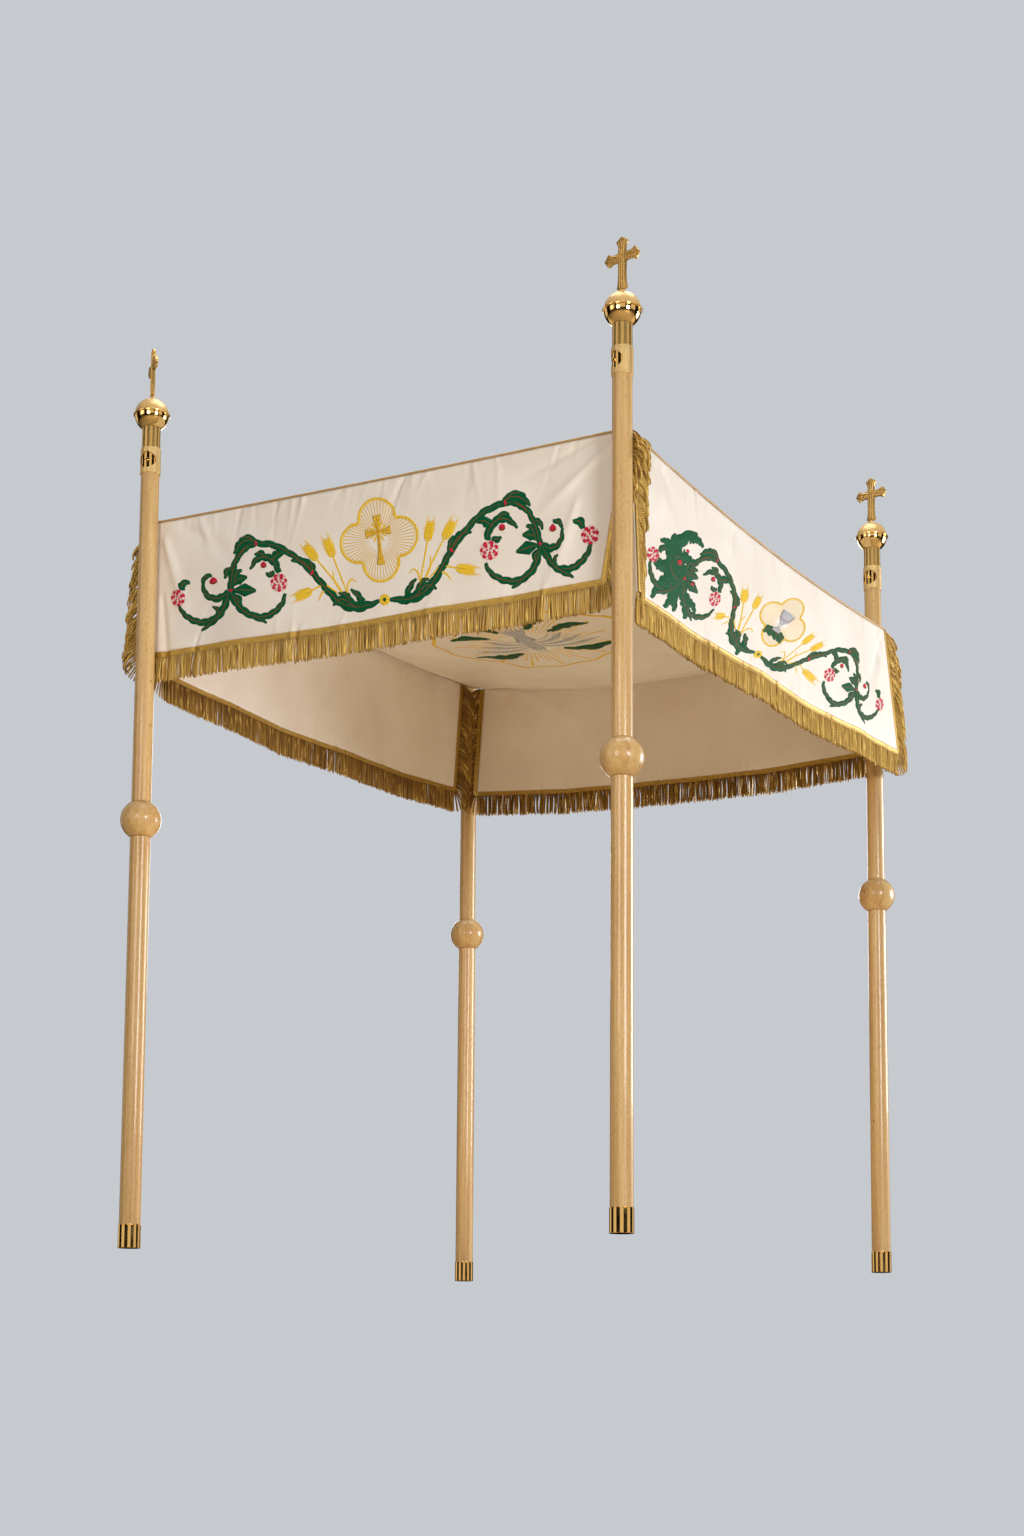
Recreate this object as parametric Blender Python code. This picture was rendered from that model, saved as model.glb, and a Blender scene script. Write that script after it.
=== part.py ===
"""Processional canopy: a sagging cloth roof with four fringed valances, carried on turned wooden poles.

Metres, +Z up. The poles stand on the ground at z = 0. The front looks along -Y and the right side along +X.
"""

import math
from collections import namedtuple

import bmesh
import bpy
from mathutils import Matrix, Vector

GAP = 0.0003  # between pieces that touch

# Poles: their places, so set that the origin lies under the middle of everything, and the heights and
# radii of what each is turned from
LEFT_X = -0.6215
RIGHT_X = 0.6485
FRONT_Y = -0.815
BACK_Y = 0.785
FERRULE_HEIGHT = 0.055
FERRULE_RADIUS = 0.0265
FERRULE_WALL = 0.0009
FERRULE_FLOOR = 0.003
FOOT_RADIUS = 0.0252
WAIST_RADIUS = 0.0243
KNOB_HEIGHT = 1.020
KNOB_RADIUS = 0.0485
SHAFT_RADIUS = 0.0234
NECK_RADIUS = 0.0224
SLEEVE_BOTTOM = 1.878
SLEEVE_TOP = 1.942
SLEEVE_WALL = 0.0020
NECK_BOTTOM = 1.888
THUMB_HOLE_RADIUS = 0.0205
BUTTON_RADIUS = 0.0042
BUTTON_REACH = 0.0268
BALL_HEIGHT = 2.030
BALL_RADIUS = 0.0413
BALL_LIP = 0.0034
BEAD_HEIGHT = 0.0065
BEAD_RADIUS = 0.0060
TURNED_STEPS = 20
BALL_RINGS = 9

# Crosses: half widths and reaches measured from the middle of the arms
CROSS_TOP = 2.200
CROSS_THICKNESS = 0.009
ARM_REACH = 0.047
ARM_HALF = 0.0085
LOBE_RADIUS = 0.0052
LOBE_SPREAD = 0.0093
LOBE_STEPS = 4
FOOT_HALF = 0.0125

# Cloth
CLOTH = 0.002
TRIM = 0.004
PIPING_RADIUS = 0.003
SEAM_DROP = 2 * PIPING_RADIUS + GAP
HEADING = 0.015
STRAND = 0.058
TOOTH_PITCH = 0.045
SLIT = 0.006
ROOF_COLUMNS = 14
ROOF_ROWS = 16
ROOF_SAG = 0.118
ROOF_SAG_POWER = 0.65
VALANCE_ROWS = 4
COLUMN_WIDTH = 0.08

# The poles, counter-clockwise from the front left: where each stands, how far its cross is turned
# about the pole, and which way its thumb hole faces, both in degrees
Pole = namedtuple("Pole", "name x y cross_turn hole_turn")
POLES = (
    Pole("front_left", LEFT_X, FRONT_Y, -43, 12),
    Pole("front_right", RIGHT_X, FRONT_Y, -12, -28),
    Pole("back_right", RIGHT_X, BACK_Y, -12, -6),
    Pole("back_left", LEFT_X, BACK_Y, -12, 0),
)

# The roof's corners beside the poles. The back right pole stands inside its corner, the others outside.
BESIDE = 0.026
OUTSIDE = 0.0176
Corner = namedtuple("Corner", "x y z")
CORNERS = (
    Corner(LEFT_X, FRONT_Y + BESIDE, 1.769),
    Corner(RIGHT_X + 0.002, FRONT_Y + BESIDE, 1.771),
    Corner(RIGHT_X + BESIDE + 0.0005, BACK_Y + BESIDE + 0.001, 1.772),
    Corner(LEFT_X + OUTSIDE, BACK_Y - OUTSIDE, 1.768),
)

# One row for each valance, from CORNERS[number] to the next corner. Distances along the side give where
# its cloth begins and ends at the top and at the hem; hem heights and how far the hem stands out are
# given at its start, middle and end.
Valance = namedtuple(
    "Valance",
    "name number sag top_from top_to hem_from hem_to "
    "hem_start hem_middle hem_end out_start out_middle out_end",
)
VALANCES = (
    Valance("front", 0, 0.004, 0.005, 1.262, -0.022, 1.212, 1.440, 1.428, 1.436, -0.002, 0.012, -0.002),
    Valance("right", 1, 0.030, 0.014, 1.585, 0.030, 1.596, 1.405, 1.402, 1.425, 0.006, 0.016, 0.030),
    Valance("back", 2, 0.040, 0.075, 1.236, 0.060, 1.258, 1.434, 1.418, 1.445, 0.004, 0.010, 0.0),
    Valance("left", 3, 0.025, 0.068, 1.506, 0.110, 1.506, 1.435, 1.405, 1.407, -0.004, 0.010, 0.0),
)

# Soft folds that deepen towards the hem: where along the valance, how wide and how deep, outward
Fold = namedtuple("Fold", "at width depth")
FOLDS = {
    "front": (
        Fold(0.22, 0.06, 0.007),
        Fold(0.45, 0.08, -0.006),
        Fold(0.66, 0.05, 0.006),
        Fold(0.83, 0.05, -0.005),
    ),
    "right": (
        Fold(0.20, 0.06, -0.007),
        Fold(0.42, 0.05, 0.008),
        Fold(0.63, 0.07, -0.008),
        Fold(0.82, 0.04, 0.007),
    ),
    "back": (
        Fold(0.25, 0.07, 0.008),
        Fold(0.52, 0.06, -0.006),
        Fold(0.76, 0.05, 0.007),
    ),
    "left": (
        Fold(0.18, 0.05, 0.007),
        Fold(0.40, 0.07, -0.008),
        Fold(0.61, 0.05, 0.007),
        Fold(0.80, 0.05, -0.006),
    ),
}

# The fringe down each slit edge: the valance, its edge (0 start, 1 end), the way its strands point along
# the side (-1 back, 1 on), how far its tips reach at the top and at the hem, and how far it stands off
# the cloth's middle at the edge and at the tips.
Edging = namedtuple("Edging", "valance edge way reach_top reach_hem lift tip_lift")
EDGINGS = (
    Edging(0, 0, -1, 0.040, 0.052, 0.0, 0.0),
    Edging(0, 1, 1, 0.034, 0.034, 0.0, 0.0),
    Edging(1, 0, 1, 0.042, 0.030, 0.0044, 0.012),
    Edging(1, 1, 1, 0.040, 0.0425, 0.0, 0.0),
    Edging(2, 0, -1, 0.045, 0.045, 0.0, 0.0),
    Edging(2, 1, 1, 0.030, 0.024, 0.0, -0.012),
    Edging(3, 0, -1, 0.042, 0.050, 0.0, -0.010),
    Edging(3, 1, 1, 0.028, 0.028, 0.0, 0.0),
)
EDGE_NAMES = ("start", "end")

# name: linear colour, roughness, metallic
FINISHES = {
    "ivory_satin": ((0.78, 0.69, 0.58), 0.45, 0.0),
    "gold_bullion": ((0.50, 0.29, 0.06), 0.35, 0.5),
    "gold_piping": ((0.40, 0.23, 0.08), 0.50, 0.3),
    "varnished_beech": ((0.60, 0.39, 0.17), 0.30, 0.0),
    "polished_brass": ((0.62, 0.41, 0.14), 0.18, 1.0),
    "satin_brass": ((0.58, 0.38, 0.13), 0.40, 1.0),
    "cast_brass": ((0.50, 0.31, 0.09), 0.35, 1.0),
}


def mix(a, b, share):
    return a + (b - a) * share


def through(start, middle, end, share):
    """A parabola through a start, a middle and an end value."""
    bend = 2 * (start + end) - 4 * middle
    return start + (end - start - bend) * share + bend * share * share


def finish(name):
    """The finish of this name as a material of its own."""
    colour, roughness, metallic = FINISHES[name]
    material = bpy.data.materials.new(name)
    material.use_nodes = True
    shader = material.node_tree.nodes["Principled BSDF"]
    shader.inputs["Base Color"].default_value = (*colour, 1.0)
    shader.inputs["Roughness"].default_value = roughness
    shader.inputs["Metallic"].default_value = metallic
    return material


def add_object(name, bm, finish_name, parent, smooth=0.6):
    """Turns a bmesh into an object under an empty, shaded smooth except across sharp edges."""
    mesh = bpy.data.meshes.new(name)
    bm.to_mesh(mesh)
    bm.free()
    mesh.shade_smooth()
    mesh.set_sharp_from_angle(angle=smooth)
    mesh.materials.append(finish(finish_name))
    thing = bpy.data.objects.new(name, mesh)
    bpy.context.scene.collection.objects.link(thing)
    thing.parent = parent
    return thing


def add_empty(name, x=0.0, y=0.0, parent=None):
    empty = bpy.data.objects.new(name, None)
    empty.location = (x, y, 0.0)
    empty.parent = parent
    bpy.context.scene.collection.objects.link(empty)
    return empty


# ---------------------------------------------------------------- poles


def turn(profile, closed=False, steps=TURNED_STEPS):
    """A body turned about Z from (radius, height) points. An open profile starts and ends on the axis."""
    bm = bmesh.new()
    points = [bm.verts.new((radius, 0.0, height)) for radius, height in profile]
    edges = [bm.edges.new(pair) for pair in zip(points, points[1:])]
    if closed:
        edges.append(bm.edges.new((points[-1], points[0])))
    bmesh.ops.spin(
        bm, geom=points + edges, axis=(0, 0, 1), cent=(0, 0, 0),
        steps=steps, angle=2 * math.pi, use_merge=True, use_duplicate=False,
    )
    bmesh.ops.remove_doubles(bm, verts=bm.verts, dist=1e-6)
    bmesh.ops.recalc_face_normals(bm, faces=bm.faces)
    return bm


def arc_points(radius, low_angle, high_angle, steps, middle):
    """(radius, height) points along a round profile, with angles in degrees above the equator."""
    points = []
    for step in range(steps + 1):
        angle = math.radians(mix(low_angle, high_angle, step / steps))
        points.append((radius * math.cos(angle), middle + radius * math.sin(angle)))
    return points


def ferrule_profile():
    bore = FERRULE_RADIUS - FERRULE_WALL
    return [
        (0, 0), (FERRULE_RADIUS - 0.001, 0), (FERRULE_RADIUS, 0.001), (FERRULE_RADIUS, FERRULE_HEIGHT),
        (bore, FERRULE_HEIGHT), (bore, FERRULE_FLOOR), (0, FERRULE_FLOOR),
    ]


def knob_half_height():
    """From the knob's middle to the flats where the shafts meet it."""
    return math.sqrt(KNOB_RADIUS**2 - WAIST_RADIUS**2)


def shaft_profile(bottom, bottom_radius, top, top_radius):
    return [(0, bottom), (bottom_radius, bottom), (top_radius, top), (0, top)]


def knob_profile():
    tilt = math.degrees(math.asin(knob_half_height() / KNOB_RADIUS))
    face = arc_points(KNOB_RADIUS, -tilt, tilt, BALL_RINGS, KNOB_HEIGHT)
    return [(0, face[0][1]), *face, (0, face[-1][1])]


def sleeve_profile():
    inner = NECK_RADIUS + GAP
    outer = inner + SLEEVE_WALL
    return [(inner, SLEEVE_BOTTOM), (outer, SLEEVE_BOTTOM), (outer, SLEEVE_TOP), (inner, SLEEVE_TOP)]


def ball_bottom():
    return BALL_HEIGHT - math.sqrt(BALL_RADIUS**2 - (NECK_RADIUS + 0.001) ** 2)


def ball_profile():
    """Two half shells meeting in a lip, with a bead on top that carries the cross."""
    low = math.degrees(math.asin((ball_bottom() - BALL_HEIGHT) / BALL_RADIUS))
    high = math.degrees(math.acos(BEAD_RADIUS * 0.8 / BALL_RADIUS))
    lip_angle = 4
    lower = arc_points(BALL_RADIUS, low, -lip_angle, BALL_RINGS // 2, BALL_HEIGHT)
    upper = arc_points(BALL_RADIUS, lip_angle, high, BALL_RINGS // 2 + 1, BALL_HEIGHT)
    top = upper[-1][1]
    bead_top = top + BEAD_HEIGHT
    bead = [(BEAD_RADIUS, top + BEAD_HEIGHT / 2), (BEAD_RADIUS * 0.7, bead_top), (0, bead_top)]
    return [(0, lower[0][1]), *lower, (BALL_RADIUS + BALL_LIP, BALL_HEIGHT), *upper, *bead]


def facing(degrees):
    """A turn about Z that takes the front, -Y, to this many degrees towards +X."""
    return Matrix.Rotation(math.radians(degrees), 4, "Z")


def side_cylinder(name, radius, reach, height, degrees, parent):
    """A short round bar pointing out of a pole, as a cutter or joined on as the spring button."""
    bm = bmesh.new()
    bmesh.ops.create_cone(bm, cap_ends=True, segments=16, radius1=radius, radius2=radius, depth=reach)
    lay_down = Matrix.Rotation(math.radians(90), 4, "X")
    place = facing(degrees) @ Matrix.Translation((0, -reach / 2, height)) @ lay_down
    bmesh.ops.transform(bm, matrix=place, verts=bm.verts)
    bar = add_object(name, bm, "polished_brass", parent)
    bar.hide_render = True
    bar.display_type = "WIRE"
    return bar


def combine(thing, other, operation):
    boolean = thing.modifiers.new(operation.lower(), "BOOLEAN")
    boolean.operation = operation
    boolean.object = other


def lobe(middle, facing_degrees, spread_degrees):
    """Points round one lobe of an arm's end."""
    points = []
    for step in range(LOBE_STEPS + 1):
        angle = math.radians(facing_degrees + mix(-spread_degrees, spread_degrees, step / LOBE_STEPS))
        reach = Vector((math.cos(angle), math.sin(angle))) * LOBE_RADIUS
        points.append(Vector(middle) + reach)
    return points


def arm_outline():
    """One arm along +X, from the lower inner corner round its three lobes to the upper one."""
    shoulder = ARM_REACH - 2.2 * LOBE_RADIUS
    side = lobe((shoulder, -LOBE_SPREAD), -80, 70)
    tip = lobe((ARM_REACH - LOBE_RADIUS, 0), 0, 65)
    other = lobe((shoulder, LOBE_SPREAD), 80, 70)
    return [(ARM_HALF, -ARM_HALF), *side, *tip, *other]


def cross_outline(foot):
    """The cross in its own plane, its arms' middle at the origin: right, top and left arms, then stem."""
    outline = []
    for quarter in range(3):
        turned = Matrix.Rotation(math.radians(90 * quarter), 2)
        outline.extend(turned @ Vector(point) for point in arm_outline())
    stem = [
        (-ARM_HALF, -ARM_HALF),
        (-ARM_HALF, foot + 0.018),
        (-FOOT_HALF, foot + 0.002),
        (-FOOT_HALF + 0.003, foot),
    ]
    outline.extend(Vector(point) for point in stem)
    outline.extend(Vector((-x, y)) for x, y in reversed(stem[1:]))
    return outline


def cross_mesh(foot_height, degrees):
    middle = CROSS_TOP - ARM_REACH
    bm = bmesh.new()
    half = CROSS_THICKNESS / 2
    corners = [bm.verts.new((x, half, middle + y)) for x, y in cross_outline(foot_height - middle)]
    bm.faces.new(corners)
    grown = bmesh.ops.extrude_face_region(bm, geom=list(bm.faces))
    moved = [item for item in grown["geom"] if isinstance(item, bmesh.types.BMVert)]
    bmesh.ops.translate(bm, verts=moved, vec=(0, -CROSS_THICKNESS, 0))
    bmesh.ops.recalc_face_normals(bm, faces=bm.faces)
    bmesh.ops.rotate(bm, verts=bm.verts, cent=(0, 0, 0), matrix=facing(degrees))
    return bm


def build_pole(pole, parent):
    stand = add_empty(pole.name + "_stand", pole.x, pole.y, parent)

    def part(suffix, bm, finish_name, smooth=0.6):
        return add_object(f"{pole.name}_{suffix}", bm, finish_name, stand, smooth)

    def bar(suffix, radius, reach):
        middle = (SLEEVE_BOTTOM + SLEEVE_TOP) / 2
        return side_cylinder(f"{pole.name}_{suffix}", radius, reach, middle, pole.hole_turn, stand)

    knob_bottom = KNOB_HEIGHT - knob_half_height()
    knob_top = KNOB_HEIGHT + knob_half_height()
    part("ferrule", turn(ferrule_profile()), "polished_brass")
    lower = shaft_profile(FERRULE_FLOOR + GAP, FOOT_RADIUS, knob_bottom - GAP, WAIST_RADIUS)
    part("shaft_lower", turn(lower), "varnished_beech")
    part("knob", turn(knob_profile()), "varnished_beech", smooth=1.0)
    upper = shaft_profile(knob_top + GAP, SHAFT_RADIUS, NECK_BOTTOM - GAP, NECK_RADIUS)
    part("shaft_upper", turn(upper), "varnished_beech")

    sleeve = part("sleeve", turn(sleeve_profile(), closed=True), "satin_brass")
    hole = bar("hole_cutter", THUMB_HOLE_RADIUS, 2 * NECK_RADIUS)
    combine(sleeve, hole, "DIFFERENCE")

    tube = shaft_profile(NECK_BOTTOM, NECK_RADIUS, ball_bottom() - GAP, NECK_RADIUS)
    neck = part("neck", turn(tube), "polished_brass")
    combine(neck, bar("button_tool", BUTTON_RADIUS, BUTTON_REACH), "UNION")

    profile = ball_profile()
    part("ball", turn(profile), "polished_brass", smooth=0.8)
    part("cross", cross_mesh(profile[-1][1] + GAP, pole.cross_turn), "cast_brass")


# ---------------------------------------------------------------- cloth


def side_of(valance):
    """Start corner, length, direction along and direction outward of the roof's side above a valance."""
    start = CORNERS[valance.number]
    end = CORNERS[(valance.number + 1) % len(CORNERS)]
    along = Vector((end.x - start.x, end.y - start.y, 0.0))
    length = along.length
    along.normalize()
    return start, length, along, Vector((along.y, -along.x, 0.0))


def top_height(valance, share):
    """Height of the roof's edge at a share of the side's length, with the edge's sag."""
    start = CORNERS[valance.number]
    end = CORNERS[(valance.number + 1) % len(CORNERS)]
    return mix(start.z, end.z, share) - valance.sag * 4 * share * (1 - share)


def stands_out(valance, across):
    """How far the hem stands outward at a share of the valance's width."""
    out = through(valance.out_start, valance.out_middle, valance.out_end, across)
    for fold in FOLDS[valance.name]:
        out += fold.depth * math.exp(-(((across - fold.at) / fold.width) ** 2))
    return out


def drape(valance, across, up, below=0.0):
    """A point of a valance's middle: across from 0 to 1, up from 0 at the hem to 1 at the seam."""
    start, length, along, outward = side_of(valance)
    top_along = mix(valance.top_from, valance.top_to, across)
    hem_along = mix(valance.hem_from, valance.hem_to, across)
    top = top_height(valance, top_along / length) - SEAM_DROP
    hem = through(valance.hem_start, valance.hem_middle, valance.hem_end, across)
    out = stands_out(valance, across) * (1 - up + 0.5 * below / (top - hem))
    point = Vector((start.x, start.y, 0.0)) + along * mix(hem_along, top_along, up) + outward * out
    point.z = mix(hem, top, up) - below
    return point


def sheet(name, columns, rows, place, thickness, finish_name, parent, keep=None):
    """A closed sheet: a grid laid by place(column, row) in the middle of the cloth, then given a thickness.

    keep(column, row) says which cells stay, so that a comb has its slits."""
    bm = bmesh.new()
    bmesh.ops.create_grid(bm, x_segments=columns, y_segments=rows, size=1.0)
    cut = []
    for face in bm.faces:
        middle = face.calc_center_median()
        column = int((middle.x + 1) / 2 * columns)
        row = int((middle.y + 1) / 2 * rows)
        if keep and not keep(column, row):
            cut.append(face)
    bmesh.ops.delete(bm, geom=cut, context="FACES")
    for vert in bm.verts:
        column = round((vert.co.x + 1) / 2 * columns)
        row = round((vert.co.y + 1) / 2 * rows)
        vert.co = place(column, row)
    thing = add_object(name, bm, finish_name, parent)
    solidify = thing.modifiers.new("thickness", "SOLIDIFY")
    solidify.thickness = thickness
    solidify.offset = 0.0
    return thing


def build_valance(valance, parent):
    width = valance.top_to - valance.top_from
    columns = round(width / COLUMN_WIDTH)

    def place(column, row):
        return drape(valance, column / columns, row / VALANCE_ROWS)

    sheet(f"valance_{valance.name}", columns, VALANCE_ROWS, place, CLOTH, "ivory_satin", parent)


def tooth_marks(length):
    """Where a comb's teeth begin and end along its edge, with a slit between each two."""
    teeth = round(length / TOOTH_PITCH)
    pitch = (length + SLIT) / teeth
    marks = []
    for tooth in range(teeth):
        marks.extend((tooth * pitch, (tooth + 1) * pitch - SLIT))
    return marks


def build_hem_fringe(valance, parent):
    """The bullion fringe along a hem: its heading is the comb's back and its strands are the teeth."""
    length = valance.hem_to - valance.hem_from
    marks = tooth_marks(length)
    depths = (HEADING + STRAND, HEADING, GAP)

    def place(column, row):
        return drape(valance, marks[column] / length, 0.0, below=depths[row])

    def keep(column, row):
        return row == 1 or column % 2 == 0

    sheet(f"fringe_{valance.name}_hem", len(marks) - 1, 2, place, TRIM, "gold_bullion", parent, keep)


def build_edge_fringe(edging, parent):
    """The bullion fringe down a slit edge. Its strands leave the heading sideways and hang."""
    valance = VALANCES[edging.valance]
    _, _, along, outward = side_of(valance)
    height = drape(valance, edging.edge, 1.0).z - drape(valance, edging.edge, 0.0).z
    marks = tooth_marks(height)

    def place(column, row):
        up = 1 - marks[column] / height
        reach = mix(edging.reach_hem, edging.reach_top, up)
        sideways = (GAP, HEADING, HEADING + reach)[row]
        fall = math.sqrt(STRAND**2 - reach**2) if row == 2 else 0.0
        lift = (edging.lift, edging.lift, edging.tip_lift)[row]
        point = drape(valance, edging.edge, up) + along * edging.way * sideways + outward * lift
        point.z -= fall
        return point

    def keep(column, row):
        return row == 0 or column % 2 == 0

    name = f"fringe_{valance.name}_{EDGE_NAMES[edging.edge]}"
    sheet(name, len(marks) - 1, 2, place, TRIM, "gold_bullion", parent, keep)


def build_piping(valance, parent):
    """A cord along the seam of roof and valance, clear of the piping that ends at its first corner."""
    start, length, along, _ = side_of(valance)
    columns = round(length / COLUMN_WIDTH)
    first = PIPING_RADIUS + GAP + 0.0001
    curve = bpy.data.curves.new(f"piping_{valance.name}", "CURVE")
    curve.dimensions = "3D"
    curve.bevel_depth = PIPING_RADIUS
    curve.bevel_resolution = 1
    curve.use_fill_caps = True
    spline = curve.splines.new("POLY")
    spline.points.add(columns)
    for number, point in enumerate(spline.points):
        distance = mix(first, length, number / columns)
        place = Vector((start.x, start.y, 0.0)) + along * distance
        place.z = top_height(valance, distance / length) - PIPING_RADIUS
        point.co = (*place, 1.0)
    curve.materials.append(finish("gold_piping"))
    cord = bpy.data.objects.new(curve.name, curve)
    bpy.context.scene.collection.objects.link(cord)
    cord.parent = parent


def roof_inset():
    """The roof's corners, drawn in so that its edge meets the piping."""
    inset = PIPING_RADIUS + 2 * GAP
    points = []
    for number, corner in enumerate(CORNERS):
        after = side_of(VALANCES[number])[3]
        before = side_of(VALANCES[number - 1])[3]
        points.append(Vector((corner.x, corner.y, 0.0)) - (after + before) * inset)
    return points


def build_roof(parent):
    """The roof hangs between its four edges and sags most in its middle. Its back right corner is cut away
    round the pole."""
    front_left, front_right, back_right, back_left = roof_inset()
    front, right, back, left = VALANCES

    def bow(share):
        return max(0.0, 1 - (2 * share - 1) ** 2) ** ROOF_SAG_POWER

    def corner_heights(across, depth):
        near = mix(CORNERS[0].z, CORNERS[1].z, across)
        far = mix(CORNERS[3].z, CORNERS[2].z, across)
        return mix(near, far, depth)

    def place(column, row):
        across, depth = column / ROOF_COLUMNS, row / ROOF_ROWS
        point = mix(mix(front_left, front_right, across), mix(back_left, back_right, across), depth)
        between_ends = mix(top_height(front, across), top_height(back, 1 - across), depth)
        between_sides = mix(top_height(left, 1 - depth), top_height(right, depth), across)
        edges = between_ends + between_sides - corner_heights(across, depth)
        point.z = edges - PIPING_RADIUS - ROOF_SAG * bow(across) * bow(depth)
        if (column, row) == (ROOF_COLUMNS, ROOF_ROWS):
            point += Vector((-1.0, -1.0, 0.0)) * (BESIDE + 0.018)
        return point

    sheet("roof", ROOF_COLUMNS, ROOF_ROWS, place, CLOTH, "ivory_satin", parent)


def main():
    for thing in list(bpy.data.objects):
        bpy.data.objects.remove(thing, do_unlink=True)
    canopy = add_empty("canopy")
    for pole in POLES:
        build_pole(pole, canopy)
    build_roof(canopy)
    for valance in VALANCES:
        build_valance(valance, canopy)
        build_piping(valance, canopy)
        build_hem_fringe(valance, canopy)
    for edging in EDGINGS:
        build_edge_fringe(edging, canopy)


main()
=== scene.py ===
"""Looks of the processional canopy: satin roof and valances with embroidery, bullion fringe, beech poles
and brass fittings. Metres, +Z up, the front looks along -Y."""

import math
from collections import namedtuple
from math import cos, pi, radians, sin, sqrt

import bmesh
import bpy
import numpy as np
from mathutils import Matrix, Vector


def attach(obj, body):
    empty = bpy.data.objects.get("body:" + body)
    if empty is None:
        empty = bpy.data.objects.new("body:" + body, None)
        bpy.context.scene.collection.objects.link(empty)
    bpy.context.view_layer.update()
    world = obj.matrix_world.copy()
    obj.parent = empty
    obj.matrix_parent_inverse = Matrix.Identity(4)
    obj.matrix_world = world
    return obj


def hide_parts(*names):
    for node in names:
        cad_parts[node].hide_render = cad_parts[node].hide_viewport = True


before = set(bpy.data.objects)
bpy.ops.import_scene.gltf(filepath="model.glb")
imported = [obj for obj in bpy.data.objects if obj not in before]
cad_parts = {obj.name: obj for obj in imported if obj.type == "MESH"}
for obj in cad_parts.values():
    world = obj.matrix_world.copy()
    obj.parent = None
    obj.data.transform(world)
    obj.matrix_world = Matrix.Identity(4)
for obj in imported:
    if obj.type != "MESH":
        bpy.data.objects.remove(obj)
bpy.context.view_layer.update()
MM = 0.001
GAP = 0.3 * MM
chance = np.random.default_rng(11)

# ---------------------------------------------------------------- where everything is

LEFT_X = -0.6215
RIGHT_X = 0.6485
FRONT_Y = -0.815
BACK_Y = 0.785

# The turns of a pole's cross and of its sleeve's hole are in degrees from the front towards +X
Pole = namedtuple("Pole", "name x y cross_turn hole_turn")
POLES = (
    Pole("front_left", LEFT_X, FRONT_Y, -43, 12),
    Pole("front_right", RIGHT_X, FRONT_Y, -12, -28),
    Pole("back_right", RIGHT_X, BACK_Y, -12, -6),
    Pole("back_left", LEFT_X, BACK_Y, -12, 0),
)

# How far a seam's corner stands off its pole's axis along X or Y: beside the pole, or diagonally inside
BESIDE = 0.026
DIAGONAL = 0.0176
Corner = namedtuple("Corner", "x y z")
CORNERS = (
    Corner(LEFT_X, FRONT_Y + BESIDE, 1.769),
    Corner(RIGHT_X + 0.002, FRONT_Y + BESIDE, 1.771),
    Corner(RIGHT_X + BESIDE + 0.0005, BACK_Y + BESIDE + 0.001, 1.772),
    Corner(LEFT_X + DIAGONAL, BACK_Y - DIAGONAL, 1.768),
)

# Each valance from CORNERS[number] to the next corner: the sag of its seam, where its cloth begins and
# ends along the side at the top and at the hem, hem heights and how far the hem stands out
Valance = namedtuple(
    "Valance", "name number sag top_from top_to hem_from hem_to "
    "hem_start hem_middle hem_end out_start out_middle out_end")
VALANCES = (
    Valance("front", 0, 0.004, 0.005, 1.262, -0.022, 1.206, 1.440, 1.428, 1.436, -0.002, 0.012, -0.002),
    Valance("right", 1, 0.030, 0.014, 1.585, 0.030, 1.596, 1.405, 1.402, 1.425, 0.006, 0.016, 0.030),
    Valance("back", 2, 0.040, 0.075, 1.236, 0.060, 1.258, 1.434, 1.418, 1.445, 0.004, 0.010, 0.0),
    Valance("left", 3, 0.025, 0.068, 1.506, 0.110, 1.506, 1.435, 1.405, 1.407, -0.004, 0.010, 0.0),
)

# Soft folds that deepen towards the hem: where along the valance, how wide and how deep
FOLDS = {
    "front": ((0.22, 0.06, 0.007), (0.45, 0.08, -0.006), (0.66, 0.05, 0.006), (0.83, 0.05, -0.005)),
    "right": ((0.20, 0.06, -0.007), (0.42, 0.05, 0.008), (0.63, 0.07, -0.008), (0.82, 0.04, 0.007)),
    "back": ((0.25, 0.07, 0.008), (0.52, 0.06, -0.006), (0.76, 0.05, 0.007)),
    "left": ((0.18, 0.05, 0.007), (0.40, 0.07, -0.008), (0.61, 0.05, 0.007), (0.80, 0.05, -0.006)),
}

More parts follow.
